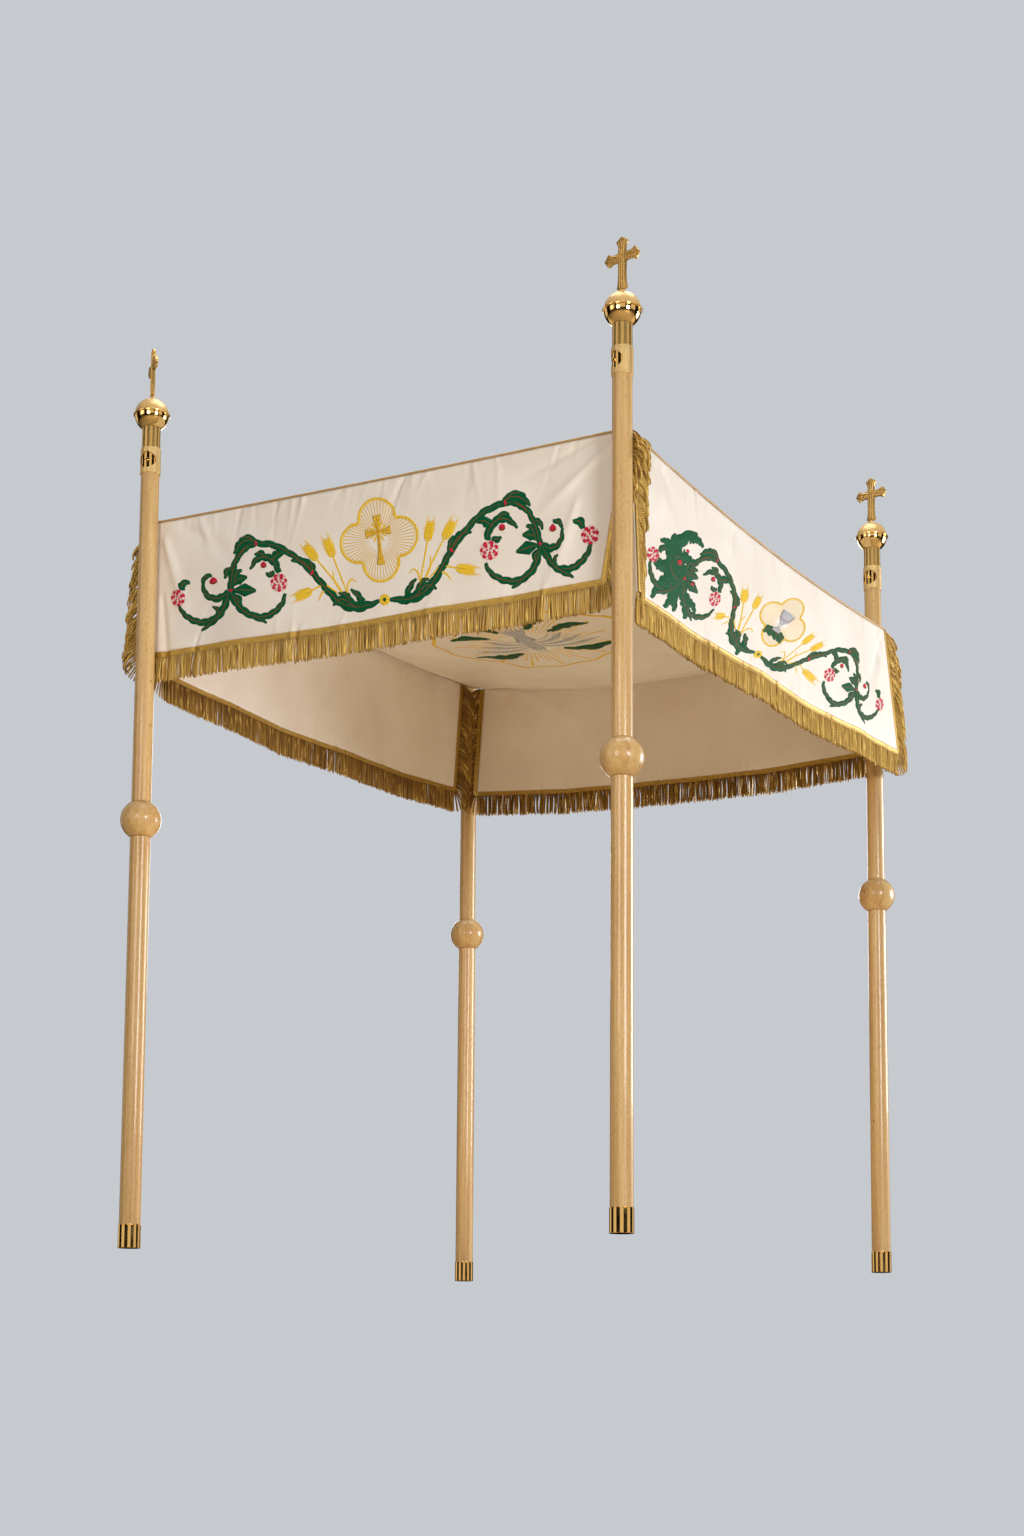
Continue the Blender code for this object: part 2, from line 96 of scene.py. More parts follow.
# Creases: from (across, up) to (across, up), half width and height in millimetres, outward
CREASES = {
    "front": (
        (0.995, 0.97, 0.86, 0.55, 11, 3.6), (0.95, 0.99, 0.80, 0.80, 9, -2.0),
        (0.02, 0.90, 0.09, 0.28, 13, 4.2), (0.05, 0.97, 0.20, 0.62, 16, -2.6),
        (0.10, 0.99, 0.14, 0.70, 10, 2.4), (0.93, 0.62, 0.90, 0.05, 15, 2.4),
        (0.03, 0.45, 0.05, 0.02, 9, -3.0), (0.55, 0.99, 0.53, 0.72, 8, -1.8),
    ),
    "right": (
        (0.06, 0.97, 0.10, 0.66, 26, 4.0), (0.10, 0.96, 0.16, 0.68, 20, -3.0),
        (0.985, 0.93, 0.90, 0.42, 16, -4.6), (0.97, 0.99, 0.955, 0.55, 11, 4.0),
        (0.90, 0.98, 0.87, 0.70, 10, 2.4), (0.50, 0.99, 0.52, 0.60, 12, 1.8),
        (0.94, 0.40, 0.93, 0.02, 14, 2.6),
    ),
    "back": (
        (0.04, 0.97, 0.16, 0.45, 18, 3.6), (0.96, 0.97, 0.84, 0.40, 18, 3.4),
        (0.90, 0.98, 0.72, 0.62, 14, -2.6), (0.30, 0.98, 0.34, 0.40, 16, -2.2),
    ),
    "left": (
        (0.04, 0.97, 0.14, 0.42, 18, 3.8), (0.95, 0.97, 0.84, 0.45, 16, 3.4),
        (0.20, 0.98, 0.26, 0.55, 12, -2.4), (0.62, 0.98, 0.60, 0.35, 16, 2.0),
    ),
}

CLOTH = 1.2 * MM
CLOTH_DROP = 0.335
PIPING_RADIUS = 0.003
SEAM_DROP = 2 * PIPING_RADIUS + GAP
HEADING = 0.015
STRAND = 0.058
ROOF_SAG = 0.118
ROOF_SAG_POWER = 0.65


def mix(a, b, share):
    return a + (b - a) * share


def through(start, middle, end, share):
    """A parabola through a start, a middle and an end value."""
    bend = 2 * (start + end) - 4 * middle
    return start + (end - start - bend) * share + bend * share * share


def side_of(valance):
    """Start corner, length, direction along and direction outward of the side above a valance."""
    start = CORNERS[valance.number]
    end = CORNERS[(valance.number + 1) % len(CORNERS)]
    run = np.array([end.x - start.x, end.y - start.y, 0.0])
    length = float(np.linalg.norm(run))
    along = run / length
    return start, length, along, np.array([along[1], -along[0], 0.0])


def top_height(valance, share):
    start = CORNERS[valance.number]
    end = CORNERS[(valance.number + 1) % len(CORNERS)]
    return mix(start.z, end.z, share) - valance.sag * 4 * share * (1 - share)


def soft_step(value):
    value = np.clip(value, 0.0, 1.0)
    return value * value * (3 - 2 * value)


def make_puckers(seed):
    """Short gathers where the cloth is sewn to the seam above and to the fringe below: (place, edge, half
    width, reach, height, lean)."""
    rng = np.random.default_rng(seed)
    rows = []
    for edge, count, reach in ((1, 74, 0.050), (0, 46, 0.036)):
        for _ in range(count):
            rows.append((
                rng.uniform(0.02, 0.98), edge, rng.uniform(3.0, 7.5) * MM,
                reach * rng.uniform(0.4, 1.7), rng.normal(0, 1.7) * MM, rng.normal(0, 0.25),
            ))
    return rows


PUCKERS = {valance.name: make_puckers(40 + valance.number) for valance in VALANCES}

# How a kind of crease fades: its gain, its width at its root, how far along it stops widening, where it
# begins and how fast it rises, where it ends and how fast it dies away
Fading = namedtuple("Fading", "gain root widest begins rise ends fall")
VALANCE_FADING = Fading(1.5, 0.55, 1.2, -0.04, 6, 1.25, 1.6)
ROOF_FADING = Fading(1.0, 0.35, 1.3, 0, 5, 1.3, 1.4)


def creased(x, y, width, height, creases, fading):
    """Height in metres of creases given as (from across, from up, to across, to up, half width, height)."""
    total = np.zeros_like(x)
    for a0, u0, a1, u1, half, high in creases:
        ax, ay, bx, by = a0 * width, u0 * height, a1 * width, u1 * height
        length = math.hypot(bx - ax, by - ay)
        tx, ty = (bx - ax) / length, (by - ay) / length
        run = ((x - ax) * tx + (y - ay) * ty) / length
        off = (x - ax) * -ty + (y - ay) * tx
        widening = half * MM * (fading.root + 0.9 * np.clip(run, 0, fading.widest))
        root = soft_step((run - fading.begins) * fading.rise)
        tip = soft_step((fading.ends - run) * fading.fall)
        total += fading.gain * high * MM * np.exp(-((off / widening) ** 2)) * root * tip
    return total


def gather(total, beside, inward, half, reach, high):
    """Adds to the heights a short gather that dies away beside its line and inward from its edge."""
    near = np.abs(beside) < 3 * half
    total[near] += high * np.exp(-((beside[near] / half) ** 2) - inward[near] / reach)


def relief(valance, across, up, width, height):
    """How far creases and gathers stand off the plain drape, in metres."""
    x, y = across * width, up * height
    total = creased(x, y, width, height, CREASES[valance.name], VALANCE_FADING)
    for at, edge, half, reach, high, lean in PUCKERS[valance.name]:
        inward = (height - y) if edge else y
        gather(total, x - (at * width + lean * inward), inward, half, reach, high)
    # they fade near the slit edges and at the seam
    ends = soft_step(x / 0.03) * soft_step((width - x) / 0.03)
    seam = soft_step((height - y) / 0.006 + 0.15)
    return total * (0.25 + 0.75 * ends) * seam


def drape(valance, across, up, below=0.0, off=0.0, crease=True):
    """Points of a valance: across 0 to 1, up 0 at the hem to 1 at the seam, below the hem and off its
    middle outward in metres. Takes arrays and gives an array of points."""
    across, up, below, off = (np.asarray(v, float) for v in np.broadcast_arrays(across, up, below, off))
    start, length, along, outward = side_of(valance)
    top_along = mix(valance.top_from, valance.top_to, across)
    hem_along = mix(valance.hem_from, valance.hem_to, across)
    top = top_height(valance, top_along / length) - SEAM_DROP
    hem = through(valance.hem_start, valance.hem_middle, valance.hem_end, across)
    out = through(valance.out_start, valance.out_middle, valance.out_end, across)
    for at, width, depth in FOLDS[valance.name]:
        out = out + depth * np.exp(-(((across - at) / width) ** 2))
    out = out * (1 - up + 0.5 * below / (top - hem))
    if crease:
        out = out + relief(valance, across, up, valance.top_to - valance.top_from, CLOTH_DROP)
    place = np.array([start.x, start.y, 0.0]) + along * mix(hem_along, top_along, up)[..., None]
    place = place + outward * (out + off)[..., None]
    place[..., 2] = mix(hem, top, up) - below
    return place


# ---------------------------------------------------------------- materials


def linear(colour):
    """A sRGB hex colour as a linear one with full alpha."""
    parts = [int(colour[n:n + 2], 16) / 255 for n in (1, 3, 5)]
    return (*(p / 12.92 if p <= 0.04045 else ((p + 0.055) / 1.055) ** 2.4 for p in parts), 1.0)


def add(tree, kind, inputs=None, **settings):
    """Adds a node. Settings set its properties; inputs set its sockets or link them to an output."""
    made = tree.nodes.new("ShaderNode" + kind)
    for name, value in settings.items():
        setattr(made, name, value)
    for name, value in (inputs or {}).items():
        if isinstance(value, bpy.types.NodeSocket):
            tree.links.new(value, made.inputs[name])
        else:
            made.inputs[name].default_value = value
    return made


def worked_out(tree, operation, *values):
    """The result of a Math node on these values or outputs."""
    return add(tree, "Math", dict(enumerate(values)), operation=operation).outputs[0]


def material(name, **sockets):
    """A material of this name with constant sockets set on its Principled shader."""
    made = bpy.data.materials.new(name)
    made.use_nodes = True
    tree = made.node_tree
    shader = tree.nodes["Principled BSDF"]
    for socket, value in sockets.items():
        shader.inputs[socket.replace("_", " ")].default_value = value
    return made, tree, shader


def ramp(tree, factor, *stops):
    """A colour ramp of (place, hex colour) stops driven by a factor."""
    made = add(tree, "ValToRGB", {"Fac": factor})
    elements = made.color_ramp.elements
    while len(elements) < len(stops):
        elements.new(0.5)
    for element, (place, colour) in zip(elements, stops):
        element.position = place
        element.color = linear(colour)
    return made.outputs["Color"]


def tinted(tree, shader, factor, *stops):
    tree.links.new(ramp(tree, factor, *stops), shader.inputs["Base Color"])


def stretched(tree, scale):
    """Object coordinates in cycles per metre along X, Y and Z."""
    coordinates = add(tree, "TexCoord")
    return add(tree, "Mapping", {"Vector": coordinates.outputs["Object"], "Scale": scale}).outputs["Vector"]


def noise(tree, vector, detail, **others):
    inputs = {"Vector": vector, "Scale": 1.0, "Detail": detail, **others}
    return add(tree, "TexNoise", inputs).outputs["Fac"]


def thread_map(tree, turn, scale):
    """The thread map, turned and stretched, for patterns that follow a tape or a stitched shape."""
    map_ = add(tree, "UVMap", uv_map="thread")
    inputs = {"Vector": map_.outputs["UV"], "Rotation": (0, 0, turn), "Scale": scale}
    return add(tree, "Mapping", inputs).outputs[0]


def bumped(tree, shader, height, strength, distance, normal=None):
    inputs = {"Height": height, "Strength": strength, "Distance": distance}
    if normal:
        inputs["Normal"] = normal
    made = add(tree, "Bump", inputs).outputs["Normal"]
    tree.links.new(made, shader.inputs["Normal"])
    return made


def ivory_satin():
    """Duchess satin: close long floats that shine softly, and a faint slub along the weft."""
    made, tree, shader = material(
        "ivory_satin", Roughness=0.42, Specular_IOR_Level=0.35, Sheen_Weight=0.10, Sheen_Roughness=0.35)
    clouds = noise(tree, stretched(tree, (6, 6, 6)), 3.0)
    slub = noise(tree, stretched(tree, (90, 90, 900)), 2.0, Roughness=0.6)
    tinted(tree, shader, clouds, (0.3, "#ECE3D8"), (0.7, "#F6F0E8"))
    soft = bumped(tree, shader, clouds, 0.25, 0.004)
    bumped(tree, shader, slub, 0.12, 0.0006, soft)
    return made


def gold_cord(name, dark, middle, light, metallic, roughness, turns, pitch):
    """Cord of gold threads twisted together: slanting ridges with painted highlights on their crests and
    painted shade in the grooves. The map's first coordinate runs once round the cord and its second along it
    in metres."""
    made, tree, shader = material(name, Metallic=metallic, Roughness=roughness, Sheen_Weight=0.1)
    shade = add(tree, "Attribute", attribute_name="shade")
    map_ = add(tree, "UVMap", uv_map="thread")
    parts = add(tree, "SeparateXYZ", {"Vector": map_.outputs["UV"]})
    along = worked_out(tree, "MULTIPLY", parts.outputs["Y"], 1 / pitch)
    phase = worked_out(tree, "MULTIPLY_ADD", parts.outputs["X"], turns, along)
    ridge = worked_out(tree, "SINE", worked_out(tree, "MULTIPLY", phase, 2 * pi))
    rise = add(tree, "MapRange", {"Value": ridge, "From Min": -1.0, "From Max": 1.0}).outputs[0]
    # the colour follows the ridges: painted highlight on the crests, painted shade in the grooves, plus the
    # shade attribute
    tone = worked_out(tree, "MULTIPLY_ADD", rise, 0.50, shade.outputs["Fac"])
    tinted(tree, shader, tone, (0.12, dark), (0.55, middle), (1.0, light))
    bumped(tree, shader, rise, 0.6, 0.0006)
    return made


def gimp_tape():
    """Woven gold heading tape: a fine diagonal braid, drawn coarser than the real 0.8 mm so that it shows."""
    made, tree, shader = material("gimp_tape", Metallic=0.55, Roughness=0.40)
    lean = thread_map(tree, 0.7, (620, 620, 1))
    weave = add(tree, "TexWave", {"Vector": lean, "Scale": 0.16, "Distortion": 1.0, "Detail": 1.0})
    braid = weave.outputs["Fac"]
    fleck = noise(tree, lean, 2.0, Scale=0.30)
    tone = worked_out(tree, "MULTIPLY_ADD", braid, 0.5, fleck)
    tinted(tree, shader, tone, (0.3, "#7C5A1C"), (0.7, "#B08A38"), (1.0, "#D6B45E"))
    bumped(tree, shader, braid, 0.5, 0.0005)
    return made


def embroidery_thread(name, dark, light, gloss=0.45, metallic=0.0):
    """Rayon thread laid in satin stitch: close parallel threads across each shape, drawn 1.3 mm apart
    where real ones lie 0.4 mm apart, so that they show."""
    made, tree, shader = material(name, Roughness=gloss, Metallic=metallic, Specular_IOR_Level=0.05)
    thread = noise(tree, thread_map(tree, 0.35, (60, 770, 1)), 1.0, Roughness=0.4)
    tinted(tree, shader, thread, (0.32, dark), (0.66, light))
    bumped(tree, shader, thread, 0.5, 0.0005)
    return made


def multiplied(tree, factor, first, second):
    inputs = {"Factor": factor, "A": first, "B": second}
    return add(tree, "Mix", inputs, data_type="RGBA", blend_type="MULTIPLY").outputs["Result"]


def varnished_beech():
    """Steamed beech, turned and varnished: straight grain with short dark rays and small knots under a
    clear gloss coat. The rays are 0.5 mm wide and a few millimetres long."""
    made, tree, shader = material(
        "varnished_beech", Roughness=0.38, Coat_Weight=0.45, Coat_Roughness=0.08, Coat_IOR=1.45)
    broad = noise(tree, stretched(tree, (55, 55, 1.6)), 4.0, Roughness=0.55, Distortion=0.4)
    fine = noise(tree, stretched(tree, (420, 420, 12)), 3.0, Roughness=0.6)
    rays = noise(tree, stretched(tree, (700, 700, 110)), 1.0)
    specks = add(tree, "TexVoronoi", {"Vector": stretched(tree, (26, 26, 13)), "Scale": 1.0})
    tone = worked_out(tree, "MULTIPLY_ADD", fine, 0.42, broad)
    wood = ramp(tree, tone, (0.48, "#B98E52"), (0.68, "#CDA66A"), (0.92, "#DCBD83"))
    dark = ramp(tree, rays, (0.30, "#A98555"), (0.40, "#FFFFFF"))
    knot = ramp(tree, specks.outputs["Distance"], (0.03, "#7A5A34"), (0.075, "#FFFFFF"))
    grain = multiplied(tree, 0.75, multiplied(tree, 0.5, wood, dark), knot)
    tree.links.new(grain, shader.inputs["Base Color"])
    bumped(tree, shader, fine, 0.05, 0.0004)
    return made


def brass(name, colour, roughness, brushed=0.0, cloud=0.0, metallic=1.0):
    """Yellow brass, 63 parts copper to 37 zinc. Brushing shows as fine rings round the turned axis."""
    made, tree, shader = material(name, Metallic=metallic, Roughness=roughness, Base_Color=linear(colour))
    rough = add(tree, "MapRange", {
        "Value": noise(tree, stretched(tree, (40, 40, 40)), 4.0), "From Min": 0.3, "From Max": 0.7,
        "To Min": roughness - cloud, "To Max": roughness + cloud})
    tree.links.new(rough.outputs[0], shader.inputs["Roughness"])
    if brushed:
        bumped(tree, shader, noise(tree, stretched(tree, (40, 40, 2400)), 2.0), brushed, 0.0003)
    return made


def cast_brass():
    """Cast brass left with its skin: dull and brown in the hollows, rubbed bright on the ridges."""
    made, tree, shader = material("cast_brass", Metallic=0.9, Roughness=0.40)
    worn = add(tree, "NewGeometry").outputs["Pointiness"]
    skin = noise(tree, stretched(tree, (300, 300, 300)), 3.0)
    tone = worked_out(tree, "MULTIPLY_ADD", skin, 0.35, worn)
    tinted(tree, shader, tone, (0.50, "#4E3614"), (0.62, "#8E6A34"), (0.80, "#D6B26C"))
    bumped(tree, shader, skin, 0.12, 0.0004)
    return made


SATIN = ivory_satin()
BULLION = gold_cord("gold_bullion", "#382406", "#A87A24", "#EFCF76", 0.50, 0.34, 1.0, 0.0042)
PIPING = gold_cord("corded_piping", "#6B4C28", "#A5804E", "#D0AE78", 0.25, 0.50, 2.0, 0.006)
TAPE = gimp_tape()
BEECH = varnished_beech()
MIRROR_BRASS = brass("polished_brass", "#E6BE78", 0.09, cloud=0.03)
# the satin parts wear a lacquer that scatters light like paint
BRUSHED_BRASS = brass("satin_brass", "#E2C284", 0.36, brushed=0.2, cloud=0.05, metallic=0.62)
SATIN_BRASS = brass("neck_brass", "#D2AE6C", 0.26, cloud=0.01, metallic=0.9)
# the ball's upper half: lacquered brass in a pale cream with little metal, whose colour is a painted
# reflection of a bright ceiling
LACQUERED_BRASS_PAINTED_REFLECTION = brass("cream_lacquered_brass", "#DDB878", 0.32, cloud=0.04, metallic=0.35)
CAST_BRASS = cast_brass()
THREADS = {
    "green": embroidery_thread("green_silk", "#063F26", "#0E6842"),
    "brown": embroidery_thread("russet_silk", "#6E2A1A", "#A34A30"),
    "red": embroidery_thread("rose_silk", "#B2122C", "#DC3450"),
    "pink": embroidery_thread("blush_silk", "#E58792", "#F6BFC3"),
    "yellow": embroidery_thread("wheat_silk", "#DDA91C", "#FFDF4A", 0.32),
    "gold": embroidery_thread("gold_thread", "#C8951F", "#F4CF50", 0.30, 0.15),
    "grey": embroidery_thread("silver_silk", "#8E9098", "#D5D6DA"),
    "white": embroidery_thread("white_silk", "#CFCAC2", "#F7F4EE"),
}

# ---------------------------------------------------------------- making pieces


def placed(name, data):
    """An object with this data, linked to the scene."""
    thing = bpy.data.objects.new(name, data)
    bpy.context.scene.collection.objects.link(thing)
    return thing


def mesh_of(name, bm):
    """A mesh from a bmesh, which it uses up."""
    mesh = bpy.data.meshes.new(name)
    bm.to_mesh(mesh)
    bm.free()
    return mesh


def keep(name, mesh, materials, replaced=()):
    """Puts a finished mesh in the scene, riding on the frame and standing for its CAD nodes."""
    for made in materials:
        mesh.materials.append(made)
    piece = placed(name, mesh)
    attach(piece, "root")
    if replaced:
        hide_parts(*replaced)
    return piece


def closed_skins(rings, maps, wrap, first=0):
    """Faces and map corners of closed tubes with capped ends. rings is (tubes, rings, sides, 3) and maps
    (tubes, rings, sides, 2). wrap is what the map's first coordinate gains once round."""
    tubes, count, sides, _ = rings.shape
    index = first + np.arange(tubes * count * sides).reshape(tubes, count, sides)
    after = np.roll(index, -1, axis=2)
    walls = np.stack([index[:, :-1], after[:, :-1], after[:, 1:], index[:, 1:]], -1).reshape(-1, 4)
    next_maps = np.concatenate([maps[:, :, 1:], maps[:, :, :1] + np.array([wrap, 0.0])], axis=2)
    corners = np.stack([maps[:, :-1], next_maps[:, :-1], next_maps[:, 1:], maps[:, 1:]], -2).reshape(-1, 2)
    caps = np.concatenate([index[:, 0, ::-1], index[:, -1]])
    cap_maps = np.concatenate([maps[:, 0, ::-1], maps[:, -1]]).reshape(-1, 2)
    return walls, corners, caps, cap_maps


Batch = namedtuple("Batch", "rings maps wrap slot shade")


def skinned_mesh(name, batches):
    """One mesh from batches of tubes."""
    points, faces, corners, slots, shades = [], [], [], [], []
    first = 0
    for rings, maps, wrap, slot, shade in batches:
        walls, wall_maps, caps, cap_maps = closed_skins(rings, maps, wrap, first)
        points.append(rings.reshape(-1, 3))
        shades.append(np.broadcast_to(shade, rings.shape[:3]).reshape(-1))
        faces.extend(walls.tolist())
        faces.extend(caps.tolist())
        corners.extend((wall_maps, cap_maps))
        slots.append(np.full(len(walls) + len(caps), slot))
        first += rings[..., 0].size
    mesh = bpy.data.meshes.new(name)
    mesh.from_pydata(np.concatenate(points).tolist(), [], faces)
    mesh.uv_layers.new(name="thread").data.foreach_set("uv", np.concatenate(corners).reshape(-1))
    mesh.attributes.new("shade", "FLOAT", "POINT").data.foreach_set("value", np.concatenate(shades))
    mesh.polygons.foreach_set("material_index", np.concatenate(slots).astype(int))
    mesh.shade_smooth()
    return mesh


def unit(vectors):
    return vectors / np.linalg.norm(vectors, axis=-1, keepdims=True)


def distances(path):
    """How far along its path each point lies, for one path or for several."""
    steps = np.linalg.norm(np.diff(path, axis=-2), axis=-1)
    return np.insert(np.cumsum(steps, -1), 0, 0.0, -1)


def cord_batch(paths, radii, sides, hint, shade=0.5):
    """Round cords along paths of shape (cords, rings, 3), as a batch for skinned_mesh. The hint is a
    direction that no cord runs along."""
    ahead = unit(np.gradient(paths, axis=1))
    side = unit(np.cross(ahead, np.asarray(hint, float)))
    other = np.cross(ahead, side)
    angles = 2 * pi * np.arange(sides) / sides
    ring = side[:, :, None] * np.cos(angles)[:, None] + other[:, :, None] * np.sin(angles)[:, None]
    rings = paths[:, :, None] + ring * radii[..., None, None]
    maps = np.stack(np.broadcast_arrays(np.arange(sides) / sides, distances(paths)[..., None]), -1)
    return Batch(rings, maps, 1.0, 0, shade)


def satin_sheet(name, columns, rows, place, node):
    """A sheet of satin from a grid, each corner of its middle surface laid by place(across, depth)."""
    bm = bmesh.new()
    bmesh.ops.create_grid(bm, x_segments=columns, y_segments=rows, size=1.0)
    flat = np.array([vert.co[:2] for vert in bm.verts])
    laid = place((flat[:, 0] + 1) / 2, (flat[:, 1] + 1) / 2)
    for vert, point in zip(bm.verts, laid):
        vert.co = point
    mesh = mesh_of(name, bm)
    mesh.shade_smooth()
    piece = keep(name, mesh, [SATIN], (node,))
    solidify = piece.modifiers.new("thickness", "SOLIDIFY")
    solidify.thickness = CLOTH
    solidify.offset = 0.0
    return piece


# ---------------------------------------------------------------- poles

FERRULE_HEIGHT = 0.055
FERRULE_RADIUS = 0.0265
FERRULE_WALL = 0.0009
FERRULE_FLOOR = 0.003
FOOT_RADIUS = 0.0252
WAIST_RADIUS = 0.0243
KNOB_HEIGHT = 1.020
KNOB_RADIUS = 0.0485
SHAFT_RADIUS = 0.0234
NECK_RADIUS = 0.0224
SLEEVE_BOTTOM = 1.878
SLEEVE_TOP = 1.942
SLEEVE_WALL = 0.0020
NECK_BOTTOM = 1.888
THUMB_HOLE_RADIUS = 0.0205
BUTTON_RADIUS = 0.0042
BUTTON_REACH = 0.0268
BALL_HEIGHT = 2.030
BALL_RADIUS = 0.0413
BALL_LIP = 0.0034
BEAD_HEIGHT = 0.0065
BEAD_RADIUS = 0.0060
CROSS_TOP = 2.200
CROSS_THICKNESS = 0.009
ARM_REACH = 0.047
ARM_HALF = 0.0105
LOBE_RADIUS = 0.0052
LOBE_SPREAD = 0.0093
FOOT_HALF = 0.0135
TURNED_STEPS = 72
SHAFT_STEPS = 24
KNOB_HALF = sqrt(KNOB_RADIUS**2 - WAIST_RADIUS**2)
BALL_BOTTOM = BALL_HEIGHT - sqrt(BALL_RADIUS**2 - (NECK_RADIUS + 1 * MM) ** 2)


def facing(degrees):
    """A turn about Z that takes the front, -Y, to this many degrees towards +X."""
    return Matrix.Rotation(radians(degrees), 4, "Z")


def turned(profile, closed=False):
    """A bmesh turned about Z from (radius, height) points."""
    bm = bmesh.new()
    points = [bm.verts.new((radius, 0.0, height)) for radius, height in profile]
    edges = [bm.edges.new(pair) for pair in zip(points, points[1:])]
    if closed:
        edges.append(bm.edges.new((points[-1], points[0])))
    bmesh.ops.spin(
        bm, geom=points + edges, axis=(0, 0, 1), cent=(0, 0, 0),
        steps=TURNED_STEPS, angle=2 * pi, use_merge=True, use_duplicate=False)
    bmesh.ops.remove_doubles(bm, verts=bm.verts, dist=1e-6)
    bmesh.ops.recalc_face_normals(bm, faces=bm.faces)
    return bm


def arc(radius, low, high, steps, middle):
    """(radius, height) points along a round profile, with angles in degrees above the equator."""
    angles = [radians(mix(low, high, step / steps)) for step in range(steps + 1)]
    return [(radius * cos(angle), middle + radius * sin(angle)) for angle in angles]


def eased(radius, bottom, top):
    """A straight side whose two ends are rounded over by half a millimetre."""
    ease, shoulder = 0.5 * MM, 0.15 * MM
    return [
        (radius - ease, bottom), (radius - shoulder, bottom + shoulder), (radius, bottom + ease),
        (radius, top - ease), (radius - shoulder, top - shoulder), (radius - ease, top),
    ]


def stand(pole, part, bm, materials, sharp=0.2, choose=None):
    """Stands a part on its pole's axis. choose gives a face's material from its height."""
    if choose:
        for face in bm.faces:
            face.material_index = choose(face.calc_center_median().z)
    bmesh.ops.translate(bm, verts=bm.verts, vec=(pole.x, pole.y, 0))
    mesh = mesh_of(f"{pole.name}_{part}_turned", bm)
    mesh.shade_smooth()
    mesh.set_sharp_from_angle(angle=sharp)
    return keep(mesh.name, mesh, materials, (f"{pole.name}_{part}",))


def combined(bm, operation, tool):
    """The bmesh that a boolean makes of two others, which it uses up."""
    made = [placed("work", mesh_of("work", source)) for source in (bm, tool)]
    boolean = made[0].modifiers.new(operation, "BOOLEAN")
    boolean.operation = operation
    boolean.object = made[1]
    result = bmesh.new()
    depsgraph = bpy.context.evaluated_depsgraph_get()
    result.from_mesh(made[0].evaluated_get(depsgraph).to_mesh())
    for thing in made:
        mesh = thing.data
        bpy.data.objects.remove(thing)
        bpy.data.meshes.remove(mesh)
    return result


def side_bar(radius, reach, degrees, dome=0.0):
    """A round bar pointing out of a pole's axis at the sleeve's middle, with a domed or a flat end."""
    end = [(radius, reach - dome), (radius * 0.7, reach - 0.3 * dome)] if dome else [(radius, reach)]
    bm = turned([(0, 0), (radius, 0), *end, (0, reach)])
    middle = Matrix.Translation((0, 0, (SLEEVE_BOTTOM + SLEEVE_TOP) / 2))
    lay_down = Matrix.Rotation(radians(90), 4, "X")
    bmesh.ops.transform(bm, matrix=facing(degrees) @ middle @ lay_down, verts=bm.verts)
    return bm


def ferrule():
    """A cup round the pole's foot, with a fine groove under its rim."""
    outer, top = FERRULE_RADIUS, FERRULE_HEIGHT
    bore, groove = outer - FERRULE_WALL, outer - 0.35 * MM
    return turned([
        (0, 0), (outer - 0.9 * MM, 0), (outer - 0.25 * MM, 0.3 * MM), (outer, 1.0 * MM),
        (outer, top - 2.4 * MM), (groove, top - 2.1 * MM), (groove, top - 1.7 * MM), (outer, top - 1.4 * MM),
        (outer, top - 0.5 * MM), (outer - 0.4 * MM, top),
        (bore, top), (bore, FERRULE_FLOOR), (0, FERRULE_FLOOR),
    ])


def shaft(bottom, bottom_radius, top, top_radius):
    """A tapered round pole with its ends a little rounded over, so that the joints show as fine lines."""
    shares = [n / SHAFT_STEPS for n in range(1, SHAFT_STEPS)]
    inward, along = 1.2 * MM, 1.3 * MM
    return turned([
        (0, bottom), (bottom_radius - inward, bottom), (bottom_radius, bottom + along),
        *((mix(bottom_radius, top_radius, share), mix(bottom, top, share)) for share in shares),
        (top_radius, top - along), (top_radius - inward, top), (0, top),
    ])


def knob():
    """A ball cut flat above and below, where the shafts meet it."""
    tilt = math.degrees(math.asin(KNOB_HALF / KNOB_RADIUS))
    face = arc(KNOB_RADIUS, -tilt, tilt, 36, KNOB_HEIGHT)
    return turned([(0, face[0][1]), *face, (0, face[-1][1])])


def sleeve(pole):
    """A tube round the neck, with a round hole in which the spring button shows."""
    inner = NECK_RADIUS + GAP
    outside = eased(inner + SLEEVE_WALL, SLEEVE_BOTTOM, SLEEVE_TOP)
    tube = turned([(inner, SLEEVE_BOTTOM), *outside, (inner, SLEEVE_TOP)], closed=True)
    return combined(tube, "DIFFERENCE", side_bar(THUMB_HOLE_RADIUS, 2 * NECK_RADIUS, pole.hole_turn))


def neck(pole):
    """A round bar up to the ball, with the spring button that shows in the sleeve's hole."""
    top = BALL_BOTTOM - GAP
    side = [(NECK_RADIUS, height) for height in (NECK_BOTTOM, SLEEVE_TOP - 1 * MM, top)]
    bar = turned([(0, NECK_BOTTOM), *side, (0, top)])
    return combined(bar, "UNION", side_bar(BUTTON_RADIUS, BUTTON_REACH, pole.hole_turn, 1.2 * MM))


